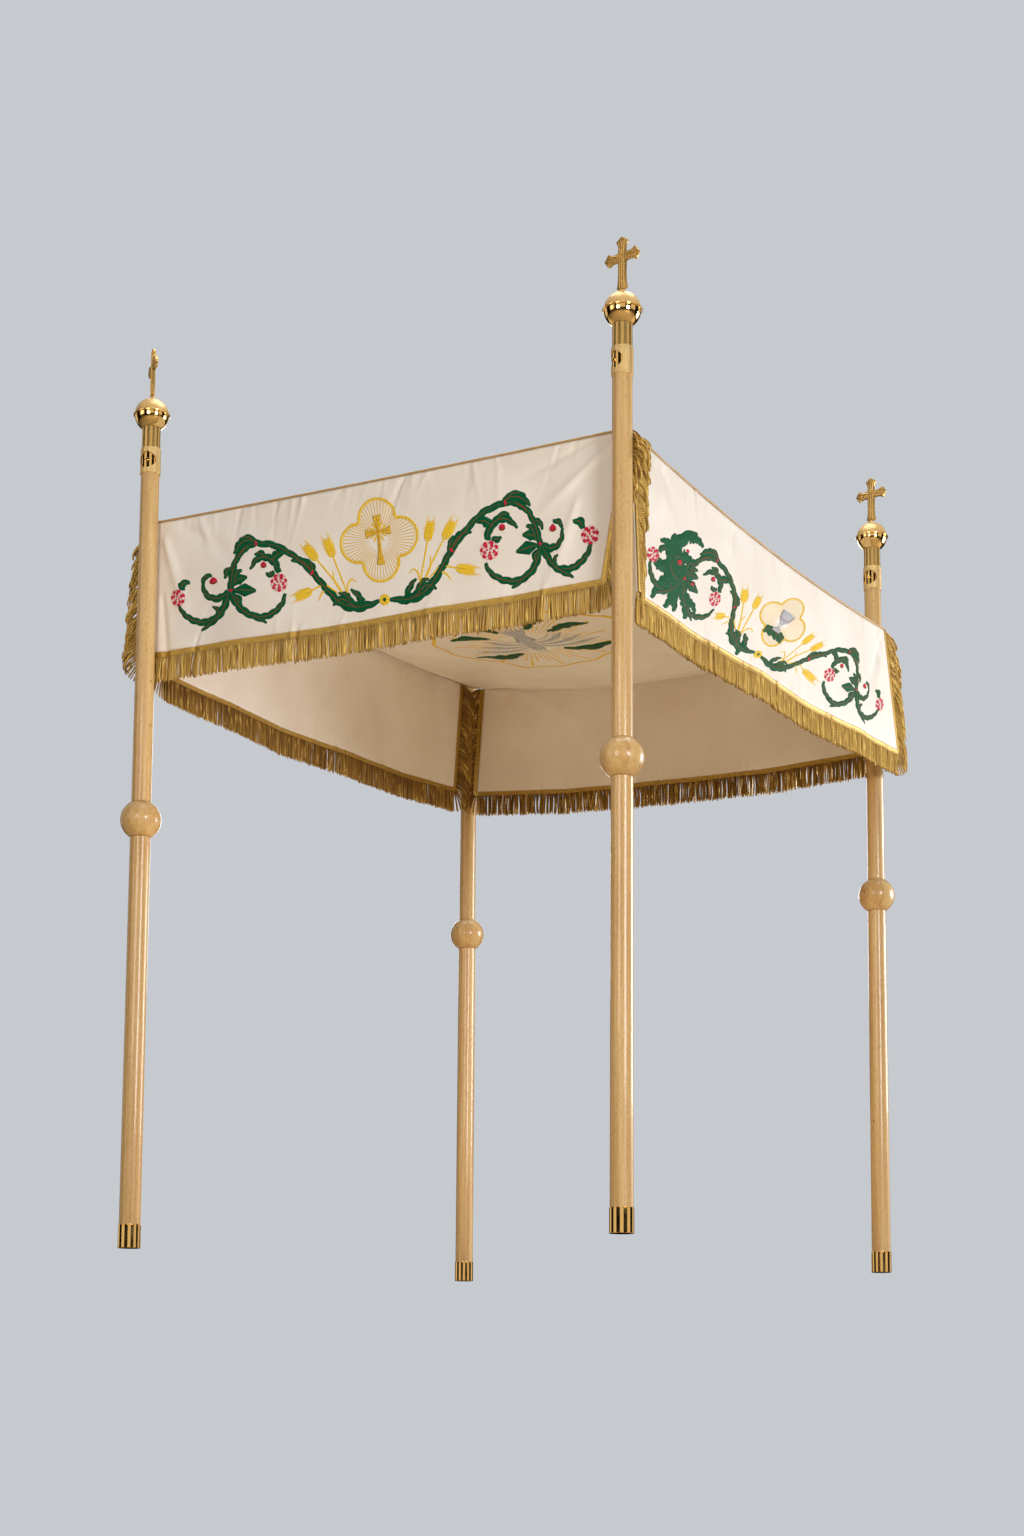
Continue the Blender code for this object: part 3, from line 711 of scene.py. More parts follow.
def ball_profile():
    """A ball with a lip round its equator and a bead on its top."""
    low = math.degrees(math.asin((BALL_BOTTOM - BALL_HEIGHT) / BALL_RADIUS))
    high = math.degrees(math.acos(BEAD_RADIUS * 0.8 / BALL_RADIUS))
    lower = arc(BALL_RADIUS, low, -3.0, 16, BALL_HEIGHT)
    upper = arc(BALL_RADIUS, 3.0, high, 22, BALL_HEIGHT)
    lip = BALL_RADIUS + BALL_LIP
    rim = [(lip - 1.2 * MM, -1.9 * MM), (lip - 0.2 * MM, -1.0 * MM), (lip, 0)]
    rim += [(radius, -rise) for radius, rise in reversed(rim[:2])]
    rim = [(radius, BALL_HEIGHT + rise) for radius, rise in rim]
    bead = [
        (BEAD_RADIUS * across, upper[-1][1] + BEAD_HEIGHT * rise)
        for across, rise in ((0.93, 0.2), (1.0, 0.5), (0.9, 0.8), (0.6, 1.0), (0, 1.0))]
    return [(0, lower[0][1]), *lower, *rim, *upper, *bead]


def lobe(middle, facing_degrees):
    """A round lobe of the cross as an arc to both sides of the way it faces."""
    angles = [radians(facing_degrees + mix(-62, 62, n / 9)) for n in range(10)]
    return [Vector(middle) + Vector((cos(a), sin(a))) * LOBE_RADIUS for a in angles]


def arm_outline():
    """One arm along +X, from the lower inner corner round its three lobes to the upper one."""
    shoulder = ARM_REACH - 2.2 * LOBE_RADIUS
    flare = []
    for t in (0, 0.3, 0.6, 0.85):
        half = ARM_HALF - 1.6 * MM * sin(pi * t) + 0.004 * t**3
        flare.append(Vector((mix(ARM_HALF, shoulder, t), -half)))
    back = [Vector((point.x, -point.y)) for point in reversed(flare[1:])]
    side = lobe((shoulder, -LOBE_SPREAD), -70)
    tip = lobe((ARM_REACH - LOBE_RADIUS, 0), 0)
    other = lobe((shoulder, LOBE_SPREAD), 70)
    return [*flare, *side, *tip, *other, *back]


def cross_outline(foot):
    """Three arms and a stem that widens to its foot, as (across, up) points from where they meet."""
    outline = []
    for quarter in range(3):
        turn = Matrix.Rotation(radians(90 * quarter), 2)
        outline.extend(turn @ point for point in arm_outline())
    stem = [
        (-ARM_HALF, -ARM_HALF), (-ARM_HALF * 0.9, foot + 0.040), (-ARM_HALF, foot + 0.018),
        (-FOOT_HALF, foot + 0.002), (-FOOT_HALF + 0.003, foot),
    ]
    outline.extend(Vector(point) for point in stem)
    outline.extend(Vector((-x, y)) for x, y in reversed(stem[1:]))
    return outline


def ridge(bm, points, width, height, level):
    """A raised rib along a line of (x, y) points on both faces of the cross, at this level above it."""
    for face in (-1, 1):
        rows = []
        for number, (x, y, share) in enumerate(points):
            before = Vector(points[max(number - 1, 0)][:2])
            after = Vector(points[min(number + 1, len(points) - 1)][:2])
            across = (after - before).normalized().orthogonal() * width * share / 2
            middle = Vector((x, y))
            left, right = middle + across, middle - across
            deep = face * (level - 0.4 * MM)
            rows.append([
                bm.verts.new((left.x, deep, left.y)),
                bm.verts.new((middle.x, face * (level + height * share), middle.y)),
                bm.verts.new((right.x, deep, right.y)),
            ])
        for row, after in zip(rows, rows[1:]):
            for n in range(3):
                m = (n + 1) % 3
                bm.faces.new((row[n], row[m], after[m], after[n]))
        bm.faces.new(rows[0])
        bm.faces.new(list(reversed(rows[-1])))


def add_ribs(bm, foot, level):
    """Three ribs that fan out on each arm, and three down the stem."""
    for quarter in range(3):
        turn = Matrix.Rotation(radians(90 * quarter), 2)
        for fan in (-1, 0, 1):
            reach = ARM_REACH - 5.5 * MM - abs(fan) * 3 * MM
            line = []
            for t in (0.0, 0.25, 0.5, 0.75, 1.0):
                point = turn @ Vector((mix(0.006, reach, t), fan * mix(4.6, 9.6, t**1.6) * MM))
                line.append((point.x, point.y, 0.55 + 0.45 * sin(pi * min(t + 0.15, 1))))
            ridge(bm, line, 4.2 * MM, 1.3 * MM, level)
    for side in (-1, 0, 1):
        line = []
        for t in (0, 0.2, 0.4, 0.6, 0.8, 1):
            line.append((side * 5.6 * MM, mix(0.004, foot + 0.004, t), 0.6 + 0.4 * sin(pi * t)))
        ridge(bm, line, 4.4 * MM, 1.4 * MM, level)


def cross(foot_height, degrees):
    """A cast cross: a bevelled plate with ribs on both faces."""
    middle = CROSS_TOP - ARM_REACH
    bm = bmesh.new()
    plate = CROSS_THICKNESS / 2 - 0.9 * MM
    foot = foot_height - middle
    bm.faces.new([bm.verts.new((x, plate, y)) for x, y in cross_outline(foot)])
    grown = bmesh.ops.extrude_face_region(bm, geom=list(bm.faces))
    far = [item for item in grown["geom"] if isinstance(item, bmesh.types.BMVert)]
    bmesh.ops.translate(bm, verts=far, vec=(0, -2 * plate, 0))
    bmesh.ops.recalc_face_normals(bm, faces=bm.faces)
    rims = [edge for edge in bm.edges if abs(edge.verts[0].co.y - edge.verts[1].co.y) < 1e-6]
    bmesh.ops.bevel(
        bm, geom=rims, offset=0.7 * MM, affect="EDGES", segments=2, profile=0.5, material=-1,
        clamp_overlap=True)
    add_ribs(bm, foot, plate)
    bmesh.ops.recalc_face_normals(bm, faces=bm.faces)
    bmesh.ops.translate(bm, verts=bm.verts, vec=(0, 0, middle))
    bmesh.ops.rotate(bm, verts=bm.verts, cent=(0, 0, 0), matrix=facing(degrees))
    return bm


def build_pole(pole):
    """A pole's eight parts, from the floor up."""
    lower = shaft(FERRULE_FLOOR + GAP, FOOT_RADIUS, KNOB_HEIGHT - KNOB_HALF - GAP, WAIST_RADIUS)
    upper = shaft(KNOB_HEIGHT + KNOB_HALF + GAP, SHAFT_RADIUS, NECK_BOTTOM - GAP, NECK_RADIUS)
    profile = ball_profile()
    stand(pole, "ferrule", ferrule(), [MIRROR_BRASS])
    stand(pole, "shaft_lower", lower, [BEECH])
    stand(pole, "knob", knob(), [BEECH], sharp=0.9)
    stand(pole, "shaft_upper", upper, [BEECH])
    stand(pole, "sleeve", sleeve(pole), [BRUSHED_BRASS])
    stand(
        pole, "neck", neck(pole), [MIRROR_BRASS, SATIN_BRASS],
        choose=lambda height: 1 if height > SLEEVE_TOP else 0)
    # above its lip the ball takes the lacquered brass with its painted reflection, below it the mirror brass
    stand(
        pole, "ball", turned(profile), [LACQUERED_BRASS_PAINTED_REFLECTION, MIRROR_BRASS],
        choose=lambda height: 0 if height > BALL_HEIGHT + 2.4 * MM else 1)
    stand(pole, "cross", cross(profile[-1][1] + GAP, pole.cross_turn), [CAST_BRASS], sharp=0.5)


for pole in POLES:
    build_pole(pole)

# ---------------------------------------------------------------- cloth

WEAVE_STEP = 5 * MM
DROP_STEPS = 68
PIPING_STEP = 6 * MM
PIPING_BENDS = 60


def build_valance(valance):
    columns = round((valance.top_to - valance.top_from) / WEAVE_STEP)
    return satin_sheet(
        f"satin_{valance.name}", columns, DROP_STEPS, lambda across, up: drape(valance, across, up),
        f"valance_{valance.name}")


def roof_corners():
    """The roof's corners inside its corded seams, on the floor's plane."""
    inset = PIPING_RADIUS + 2 * GAP
    points = []
    for number, corner in enumerate(CORNERS):
        after = side_of(VALANCES[number])[3]
        before = side_of(VALANCES[number - 1])[3]
        points.append(np.array([corner.x, corner.y, 0.0]) - (after + before) * inset)
    return points


# Folds of the roof: from (across, depth) to (across, depth), half width and height in millimetres
ROOF_FOLDS = (
    (0.01, 0.99, 0.42, 0.60, 30, -7), (0.08, 0.99, 0.50, 0.66, 26, 6), (0.01, 0.90, 0.36, 0.55, 26, 5),
    (0.99, 0.97, 0.62, 0.62, 32, -7), (0.92, 0.99, 0.60, 0.70, 26, 5), (0.99, 0.88, 0.66, 0.58, 26, 5),
    (0.01, 0.01, 0.36, 0.36, 32, -6), (0.99, 0.01, 0.64, 0.36, 32, -6), (0.10, 0.01, 0.40, 0.30, 24, 4),
    (0.90, 0.01, 0.60, 0.28, 24, 4), (0.30, 0.80, 0.72, 0.86, 34, -5), (0.34, 0.90, 0.70, 0.93, 24, 4),
)


def roof_gathers(count):
    """Short gathers along the roof's four seams: (edge, place, half width, reach, height)."""
    rng = np.random.default_rng(77)
    rows = []
    for edge in np.repeat(range(4), count):
        place, half = rng.uniform(0.03, 0.97), rng.uniform(6, 13) * MM
        rows.append((edge, place, half, rng.uniform(0.02, 0.07), rng.normal(0, 1.1) * MM))
    return rows


ROOF_GATHERS = roof_gathers(46)
ROOF_SIZE = (1.27, 1.60)


def roof_relief(across, depth):
    """How far folds and gathers raise the roof, in metres. They fade at its seams."""
    x, y = across * ROOF_SIZE[0], depth * ROOF_SIZE[1]
    total = creased(x, y, *ROOF_SIZE, ROOF_FOLDS, ROOF_FADING)
    for edge, at, half, reach, high in ROOF_GATHERS:
        inward = (y, ROOF_SIZE[0] - x, ROOF_SIZE[1] - y, x)[edge]
        run = (x, y, x, y)[edge]
        gather(total, run - at * ROOF_SIZE[edge % 2], inward, half, reach, high)
    ends = soft_step(np.minimum.reduce([x, y, ROOF_SIZE[0] - x, ROOF_SIZE[1] - y]) / 0.012)
    return total * ends


def lay_roof(across, depth, off=0.0):
    """Points of the roof. The sag is deepest in the middle; off stands below the cloth."""
    front_left, front_right, back_right, back_left = roof_corners()
    front, right, back, left = VALANCES

    def bow(share):
        return np.clip(1 - (2 * share - 1) ** 2, 0.0, 1.0) ** ROOF_SAG_POWER

    near = mix(CORNERS[0].z, CORNERS[1].z, across)
    far = mix(CORNERS[3].z, CORNERS[2].z, across)
    a, d = across[:, None], depth[:, None]
    place = mix(mix(front_left, front_right, a), mix(back_left, back_right, a), d)
    between_ends = mix(top_height(front, across), top_height(back, 1 - across), depth)
    between_sides = mix(top_height(left, 1 - depth), top_height(right, depth), across)
    place[:, 2] = between_ends + between_sides - mix(near, far, depth) - PIPING_RADIUS
    place[:, 2] -= ROOF_SAG * bow(across) * bow(depth) - roof_relief(across, depth) + off
    # the back right corner is drawn in, because its seam passes outside the pole
    drawn_in = (BESIDE + 0.018) * np.clip(across * 14 - 13, 0, 1) * np.clip(depth * 16 - 15, 0, 1)
    place[:, :2] -= drawn_in[:, None]
    return place


def build_piping(valance):
    """The corded seam between the roof and a valance, not quite straight."""
    start, length, along, outward = side_of(valance)
    count = round(length / PIPING_STEP)
    distance = np.linspace(PIPING_RADIUS + GAP + 0.1 * MM, length, count)
    path = np.array([start.x, start.y, 0.0]) + along * distance[:, None]
    bends = chance.normal(0, 0.45 * MM, PIPING_BENDS)
    wave = np.interp(distance, np.linspace(0, length, PIPING_BENDS), bends)
    path += outward * wave[:, None] * soft_step((length / 2 - np.abs(distance - length / 2)) / 0.03)[:, None]
    path[:, 2] = top_height(valance, distance / length) - PIPING_RADIUS
    radii = np.full((1, count), PIPING_RADIUS * 0.96)
    mesh = skinned_mesh(f"corded_seam_{valance.name}", [cord_batch(path[None], radii, 14, (0, 0, 1))])
    return keep(mesh.name, mesh, [PIPING], (f"piping_{valance.name}",))


# ---------------------------------------------------------------- fringe

# How the fringe leaves a valance's slit edges, 0 its start and 1 its end: which way along the side, how far
# it reaches at the top and at the hem, and how far its tape and its tips are lifted off the cloth
Edging = namedtuple("Edging", "valance edge way reach_top reach_hem lift tip_lift")
EDGINGS = (
    Edging(0, 0, -1, 0.040, 0.052, 0.0, 0.0),
    Edging(0, 1, 1, 0.034, 0.014, 0.0, 0.0),
    Edging(1, 0, 1, 0.040, 0.007, 0.0044, 0.016),
    Edging(1, 1, 1, 0.042, 0.028, 0.0, 0.014),
    Edging(2, 0, -1, 0.045, 0.045, 0.0, 0.0),
    Edging(2, 1, 1, 0.030, 0.024, 0.0, -0.012),
    Edging(3, 0, -1, 0.042, 0.050, 0.0, -0.010),
    Edging(3, 1, 1, 0.028, 0.028, 0.0, 0.0),
)
CORD_PITCH = 2.3 * MM
CORD_RADIUS = 1.85 * MM
# How far the back and the front row of cords stand off the cloth's middle
LAYERS = (-2.2 * MM, 0.2 * MM)
EDGE_PITCH = 1.9 * MM
EDGE_RAGGED = 0.27
CORD_RINGS = 10
CORD_SIDES = 5
# painted shade: how much darker the back row of cords is coloured
BACK_ROW_SHADE = 0.26
TAPE_ROWS = 84
TAPE_STEP = 4 * MM
# The tape's section: (share of its width from the cloth's edge, half thickness in millimetres)
TAPE_SECTION = (
    (0.0, 0.5), (0.06, 1.3), (0.16, 1.5), (0.24, 0.9), (0.5, 1.0), (0.78, 0.9), (0.86, 1.5), (0.95, 1.3),
    (1.0, 0.5),
)
UP = np.array([0.0, 0.0, 1.0])


def sway(count, size, smooth):
    """Random leans that neighbouring cords share, so that they hang in clumps."""
    loose = chance.normal(0, 1, count + 2 * smooth)
    kernel = np.hanning(2 * smooth + 1)
    shared = np.convolve(loose, kernel / np.sqrt((kernel**2).sum()), "valid")
    return size * (0.7 * shared[:count] + 0.45 * chance.normal(0, 1, count))


def layered(count):
    """How far each cord stands out of its row: two rows, so that no light comes between them."""
    return np.resize(LAYERS, count)[:, None]


def cords_from(roots, ends, outward, along):
    """Cord paths from roots to ends that bow a little."""
    count = len(roots)
    t = np.linspace(0, 1, CORD_RINGS)[None, :, None]
    roots, ends = roots + outward * layered(count), ends + outward * layered(count) * 1.3
    paths = roots[:, None] * (1 - t) + ends[:, None] * t
    bow_out = sway(count, 0.9 * MM, 3)[:, None, None]
    bow_side = sway(count, 1.9 * MM, 3)[:, None, None]
    wiggle = 0.30 * MM * np.sin(t * 9 + chance.uniform(0, 6, count)[:, None, None])
    paths += outward * (bow_out * np.sin(pi * t) + wiggle)
    return paths + along * bow_side * np.sin(pi * t**1.3)


def cord_shades(count):
    """How light each cord is along its length: its own tone, shared in clumps, with painted shade on the back
    row and a painted highlight on three cords in ten, each over a short stretch of its own. Each cord is also
    a little lighter towards its tip."""
    t = np.linspace(0, 1, CORD_RINGS)
    # random tone shared in clumps, less painted shade on the back row
    clumps = np.clip(0.42 + sway(count, 0.10, 2), 0.1, 0.9) - BACK_ROW_SHADE * (np.resize(LAYERS, count) < 0)
    # painted highlight: three cords in ten get a short lighter stretch
    draw = chance.uniform(0, 1, count)[:, None]
    glint = 0.50 * (draw > 0.7) * np.exp(-(((23 * draw) % 1 - t) / 0.14) ** 2)
    return (clumps[:, None] + glint + 0.10 * t - 0.05)[..., None]


def cord_radii(count):
    t = np.linspace(0, 1, CORD_RINGS)[None]
    swell = 1 + 0.16 * t - 0.55 * np.clip((t - 0.93) / 0.07, 0, 1)
    return CORD_RADIUS * chance.uniform(0.86, 1.12, count)[:, None] * swell


def tape_batch(line, width, outward):
    """The heading tape, from its line along the cloth and its width vectors. Each ring is run the other
    way round where the tape would be inside out."""
    section = [*TAPE_SECTION, *((share, -half) for share, half in reversed(TAPE_SECTION))]
    across, off = np.array(section).T
    rings = line[:, None] + width[:, None] * across[None, :, None] + outward * (off * MM)[None, :, None]
    maps = np.stack(np.broadcast_arrays(across * HEADING, distances(line)[:, None]), -1)
    if float(np.cross(rings[0, 3] - rings[0, 1], rings[1, 1] - rings[0, 1]) @ outward) < 0:
        rings, maps = rings[:, ::-1], maps[:, ::-1]
    return Batch(rings[None], maps[None], 0.0, 0, 0.5)


def spokes(side, shares):
    """Unit vectors that turn from sideways, at 0, down to the floor, at 1."""
    angle = shares[:, None] * pi / 2
    return side * np.cos(angle) - UP * np.sin(angle)


def hem_cords(valance):
    _, _, along, outward = side_of(valance)
    length = valance.hem_to - valance.hem_from
    count = round(length / CORD_PITCH)
    share = (np.arange(count) + 0.5) / count + chance.normal(0, 0.15 / count, count)
    roots = drape(valance, share, 0.0, below=HEADING - 1.0 * MM)
    fall = STRAND * (1 + 0.035 * chance.normal(0, 1, count))
    ends = drape(valance, share, 0.0, below=HEADING + fall)
    ends = ends + along * sway(count, 2.6 * MM, 4)[:, None] + outward * sway(count, 0.9 * MM, 4)[:, None]
    return cords_from(roots, ends, outward, along)


def edge_cords(edging):
    """Cords down a slit edge: they leave sideways, turn over and hang."""
    valance = VALANCES[edging.valance]
    _, _, along, outward = side_of(valance)
    top, foot = drape(valance, edging.edge, np.array([1.0, 0.0]), crease=False)
    count = round((top[2] - foot[2]) / EDGE_PITCH)
    up = 1 - (np.arange(count) + 0.5) / count
    side = along * edging.way
    base = drape(valance, np.full(count, float(edging.edge)), up, crease=False)
    roots = base + side * (HEADING - 1.0 * MM) + outward * edging.lift
    strand = STRAND * (1 + 0.05 * chance.normal(0, 1, count))
    reach = mix(edging.reach_hem, edging.reach_top, up) * (1 + EDGE_RAGGED * sway(count, 1.0, 6))
    reach = np.clip(reach, 0.006, strand * 0.9)
    # cords taped over the cloth lie closer to it towards the hem
    away = edging.tip_lift * (0.15 + 0.85 * up if edging.lift else 1.0) + sway(count, 2.2 * MM, 4)
    fall = np.sqrt(strand**2 - 0.75 * reach**2)
    straight = cords_from(roots, roots, outward, along)
    t = np.linspace(0, 1, CORD_RINGS)[None]
    over = 1 - (1 - t) ** 2.2
    moved_by = side * (reach[:, None] * over)[..., None]
    moved_by = moved_by + outward * ((away - edging.lift)[:, None] * over)[..., None]
    moved_by[..., 2] -= fall[:, None] * t**1.35
    return straight + moved_by


def corner_cords(edging):
    """Cords that fan round the corner between a slit edge and the hem."""
    valance = VALANCES[edging.valance]
    _, _, along, outward = side_of(valance)
    side = along * edging.way
    count = round(HEADING * pi / 2 / CORD_PITCH)
    shares = (np.arange(count) + 0.5) / count
    roots = drape(valance, float(edging.edge), 0.0) + spokes(side, shares) * (HEADING - 1.0 * MM)
    sideways = np.cos(shares * pi / 2)[:, None]
    reach = edging.reach_hem * sideways
    ends = roots + side * reach + outward * edging.tip_lift * sideways
    ends[:, 2] -= np.sqrt(STRAND**2 - reach[:, 0]**2)
    return cords_from(roots, ends, outward, along)


def heading_run(valance, edging):
    """The tape's inner line and width down a slit edge and round its corner to the hem."""
    side = side_of(valance)[2] * edging.way
    up = np.linspace(1, 0, TAPE_ROWS)
    line = drape(valance, np.full(len(up), float(edging.edge)), up) + side * GAP
    turning = spokes(side, np.linspace(0, 1, 9)[1:-1])
    corner = drape(valance, float(edging.edge), 0.0) + turning * GAP
    width = np.concatenate([np.broadcast_to(side, line.shape), turning]) * (HEADING - GAP)
    return np.concatenate([line, corner]), width


def heading_tapes(valance, edgings):
    """One tape down the first edge, along the hem and up the last. A tape over the cloth is its own."""
    outward = side_of(valance)[3]
    share = np.linspace(0, 1, round((valance.hem_to - valance.hem_from) / TAPE_STEP) + 1)
    top = drape(valance, share, 0.0, below=GAP)
    runs = [(top, drape(valance, share, 0.0, below=HEADING) - top)]
    tapes = []
    for edging in edgings:
        line, width = heading_run(valance, edging)
        if edging.lift:
            tapes.append(tape_batch(line[:TAPE_ROWS] + outward * edging.lift, width[:TAPE_ROWS], outward))
        elif edging.edge:
            runs.append((line[::-1], width[::-1]))
        else:
            runs.insert(0, (line, width))
    lines, widths = zip(*runs)
    tapes.append(tape_batch(np.concatenate(lines), np.concatenate(widths), outward))
    return tapes


def build_fringe(valance):
    outward = side_of(valance)[3]
    edgings = [edging for edging in EDGINGS if edging.valance == valance.number]
    groups = [hem_cords(valance)]
    for edging in edgings:
        groups.append(edge_cords(edging))
        if not edging.lift:
            groups.append(corner_cords(edging))
    cords = []
    for paths in groups:
        shades = cord_shades(len(paths))
        cords.append(cord_batch(paths, cord_radii(len(paths)), CORD_SIDES, outward, shades))
    nodes = [f"fringe_{valance.name}_{part}" for part in ("start", "hem", "end")]
    mesh = skinned_mesh(f"bullion_{valance.name}", cords)
    fringe = keep(mesh.name, mesh, [BULLION], nodes)
    mesh = skinned_mesh(f"heading_{valance.name}", heading_tapes(valance, edgings))
    heading = keep(mesh.name, mesh, [TAPE])
    return [fringe, heading]


# ---------------------------------------------------------------- embroidery

# A stitched shape is a run of satin stitch along a curve: its thread, points in millimetres, half widths
# in millimetres along it, the number of leaf teeth on its edges and how many layers it lies above.
Shape = namedtuple("Shape", "thread points widths teeth layer")
MEDALLION_HEIGHT = 190
RAYS = 64
STITCH_STEP = 3.0
VEIN_STEP = 6.0
VEIN_LAYERS = 1.35
LAYER_HEIGHT = 0.45
EDGE_MARGIN = 0.022
HEM_MARGIN = 4.0
# How much wider each thread is worked than the widths given
BOLD = {
    "green": 1.7, "yellow": 1.5, "gold": 1.5, "red": 1.25, "brown": 1.4, "pink": 1.0, "grey": 1.0,
    "white": 1.0,
}
# The section of satin stitch: (share of its half width, share of its dome)
SECTION = ((-1.0, 0.0), (-0.62, 0.72), (0.0, 1.0), (0.62, 0.72), (1.0, 0.0))


def pointing(angle):
    """The unit vector at this angle."""
    return np.array([cos(angle), sin(angle)])


def curve_through(points, spacing):
    """Even points along a smooth curve through the given ones."""
    points = np.asarray(points, float)
    padded = np.vstack([2 * points[0] - points[1], points, 2 * points[-1] - points[-2]])
    t = np.linspace(0, 1, 12, endpoint=False)[:, None]
    runs = []
    for a, b, c, d in zip(padded, padded[1:], padded[2:], padded[3:]):
        square, cube = 2 * a - 5 * b + 4 * c - d, 3 * b - a - 3 * c + d
        runs.append(0.5 * (2 * b + (c - a) * t + square * t**2 + cube * t**3))
    fine = np.vstack([*runs, points[-1:]])
    run = distances(fine)
    count = max(4, round(run[-1] / spacing) + 1)
    even = np.linspace(0, run[-1], count)
    return np.stack([np.interp(even, run, fine[:, 0]), np.interp(even, run, fine[:, 1])], -1), even


def stitched(shape, lay, number):
    """The closed, softly domed body of one shape, laid on the cloth by lay(x, y, off)."""
    path, run = curve_through(shape.points, STITCH_STEP)
    ahead = unit(np.gradient(path, axis=0))
    left = np.stack([-ahead[:, 1], ahead[:, 0]], -1)
    share = run / run[-1]
    widths = BOLD[shape.thread] * np.interp(share, np.linspace(0, 1, len(shape.widths)), shape.widths)
    sides = []
    for phase in (0.0, 0.45):
        lobes = np.abs(np.sin(pi * (share * shape.teeth + phase))) ** 0.7 if shape.teeth else 1.0
        sides.append(widths * (0.70 + 0.36 * lobes))
    across, dome = np.array(SECTION).T
    reach = np.where(across < 0, sides[0][:, None], sides[1][:, None]) * -across
    flat = path[:, None] + left[:, None] * reach[..., None]
    crown = np.minimum(1.0, 0.35 + widths / 7)[:, None] * 0.85
    off = LAYER_HEIGHT + LAYER_HEIGHT * shape.layer + crown * dome
    points = lay(flat[..., 0].ravel(), flat[..., 1].ravel(), off.ravel() * MM)
    maps = np.stack([-reach * MM, np.broadcast_to(run[:, None], reach.shape) * MM], -1)
    rings = points.reshape(1, len(path), len(SECTION), 3)
    return Batch(rings, maps[None], 0.0, number, 0.5)


def veined(points, widths, teeth, layer):
    """A green leaf or stem with a russet vein down its middle."""
    inner = curve_through(points, VEIN_STEP)[0]
    inner = inner[1:-1] if len(inner) > 5 else inner
    return [
        Shape("green", points, widths, teeth, layer),
        Shape("brown", inner, (0.3, 0.7, 0.7, 0.3), 0, layer + VEIN_LAYERS),
    ]


# The rows of a rose's petals from its rim inward: (radius, petals, half width, thread, turn in petals)
PETALS = (
    (0.98, 7, 1.2, "pink", 0.5), (0.84, 7, 3.1, "red", 0.0), (0.66, 6, 1.6, "pink", 0.2),
    (0.54, 5, 3.1, "red", 0.5), (0.38, 4, 1.2, "pink", 0.0), (0.26, 3, 2.6, "red", 0.2),
    (0.06, 1, 2.4, "red", 0.0),
)


def rose(x, y, size, turn):
    """An open rose: white ground with a scalloped rim, and rows of red and blush petals round a heart."""
    centre = np.array([x, y])
    widths = [size * share for share in (0.70, 0.93, 0.93, 0.70)]
    shapes = [Shape("white", [(x - size, y), (x, y), (x + size, y)], (2, *widths, 2), 0, 0.0)]
    for petal in range(7):
        angle = turn + petal / 7 * 2 * pi
        middle = centre + pointing(angle) * (size * 0.88, size * 0.86)
        across = pointing(angle + pi / 2) * size * 0.36
        shapes.append(Shape("white", [middle - across, middle, middle + across], (1, size * 0.26, 1), 0, 0.3))
    for radius, petals, wide, thread, offset in PETALS:
        for petal in range(petals):
            points = []
            for step, bulge in ((-1, 0.88), (-0.5, 1.0), (0, 1.05), (0.5, 1.0), (1, 0.88)):
                angle = turn + (petal + offset + 0.36 * step) / petals * 2 * pi
                points.append(centre + pointing(angle) * size * radius * bulge)
            shapes.append(Shape(thread, points, (0.5, wide, wide * 1.15, wide, 0.5), 0, 1.0))
    return shapes


def wheat(root, knee, tip, size):
    """A stalk that ends in an ear of paired grains with beards."""
    root, knee, tip = (np.array(p, float) for p in (root, knee, tip))
    way = unit(tip - knee)
    side = np.array([-way[1], way[0]])
    stalk = [root, mix(root, knee, 0.5) + side * 1.5, knee, tip]
    shapes = [Shape("yellow", stalk, (1.1, 1.6, 1.6, 1.5), 0, 0.2)]
    for pair in range(5):
        base = tip + way * size * (pair * 0.16 - 0.05)
        for hand in (-1, 1):
            lean = unit(way + side * hand * (0.75 - 0.10 * pair))
            start = base + side * hand * 1.0
            grain = [start, start + lean * 9 + way * 1.5, start + lean * 18 + way * 5]
            shapes.append(Shape("yellow", grain, (0.8, 3.0, 2.2, 0.5), 0, 0.4))
            beard = start + lean * 16 + way * 5
            shapes.append(Shape("yellow", [beard, beard + lean * 8 + way * 10], (0.9, 0.4), 0, 0.2))
    point = tip + way * size * 0.74
    shapes.append(Shape("yellow", [point, point + way * 8, point + way * 17], (0.8, 3.4, 0.5), 0, 0.6))
    return shapes


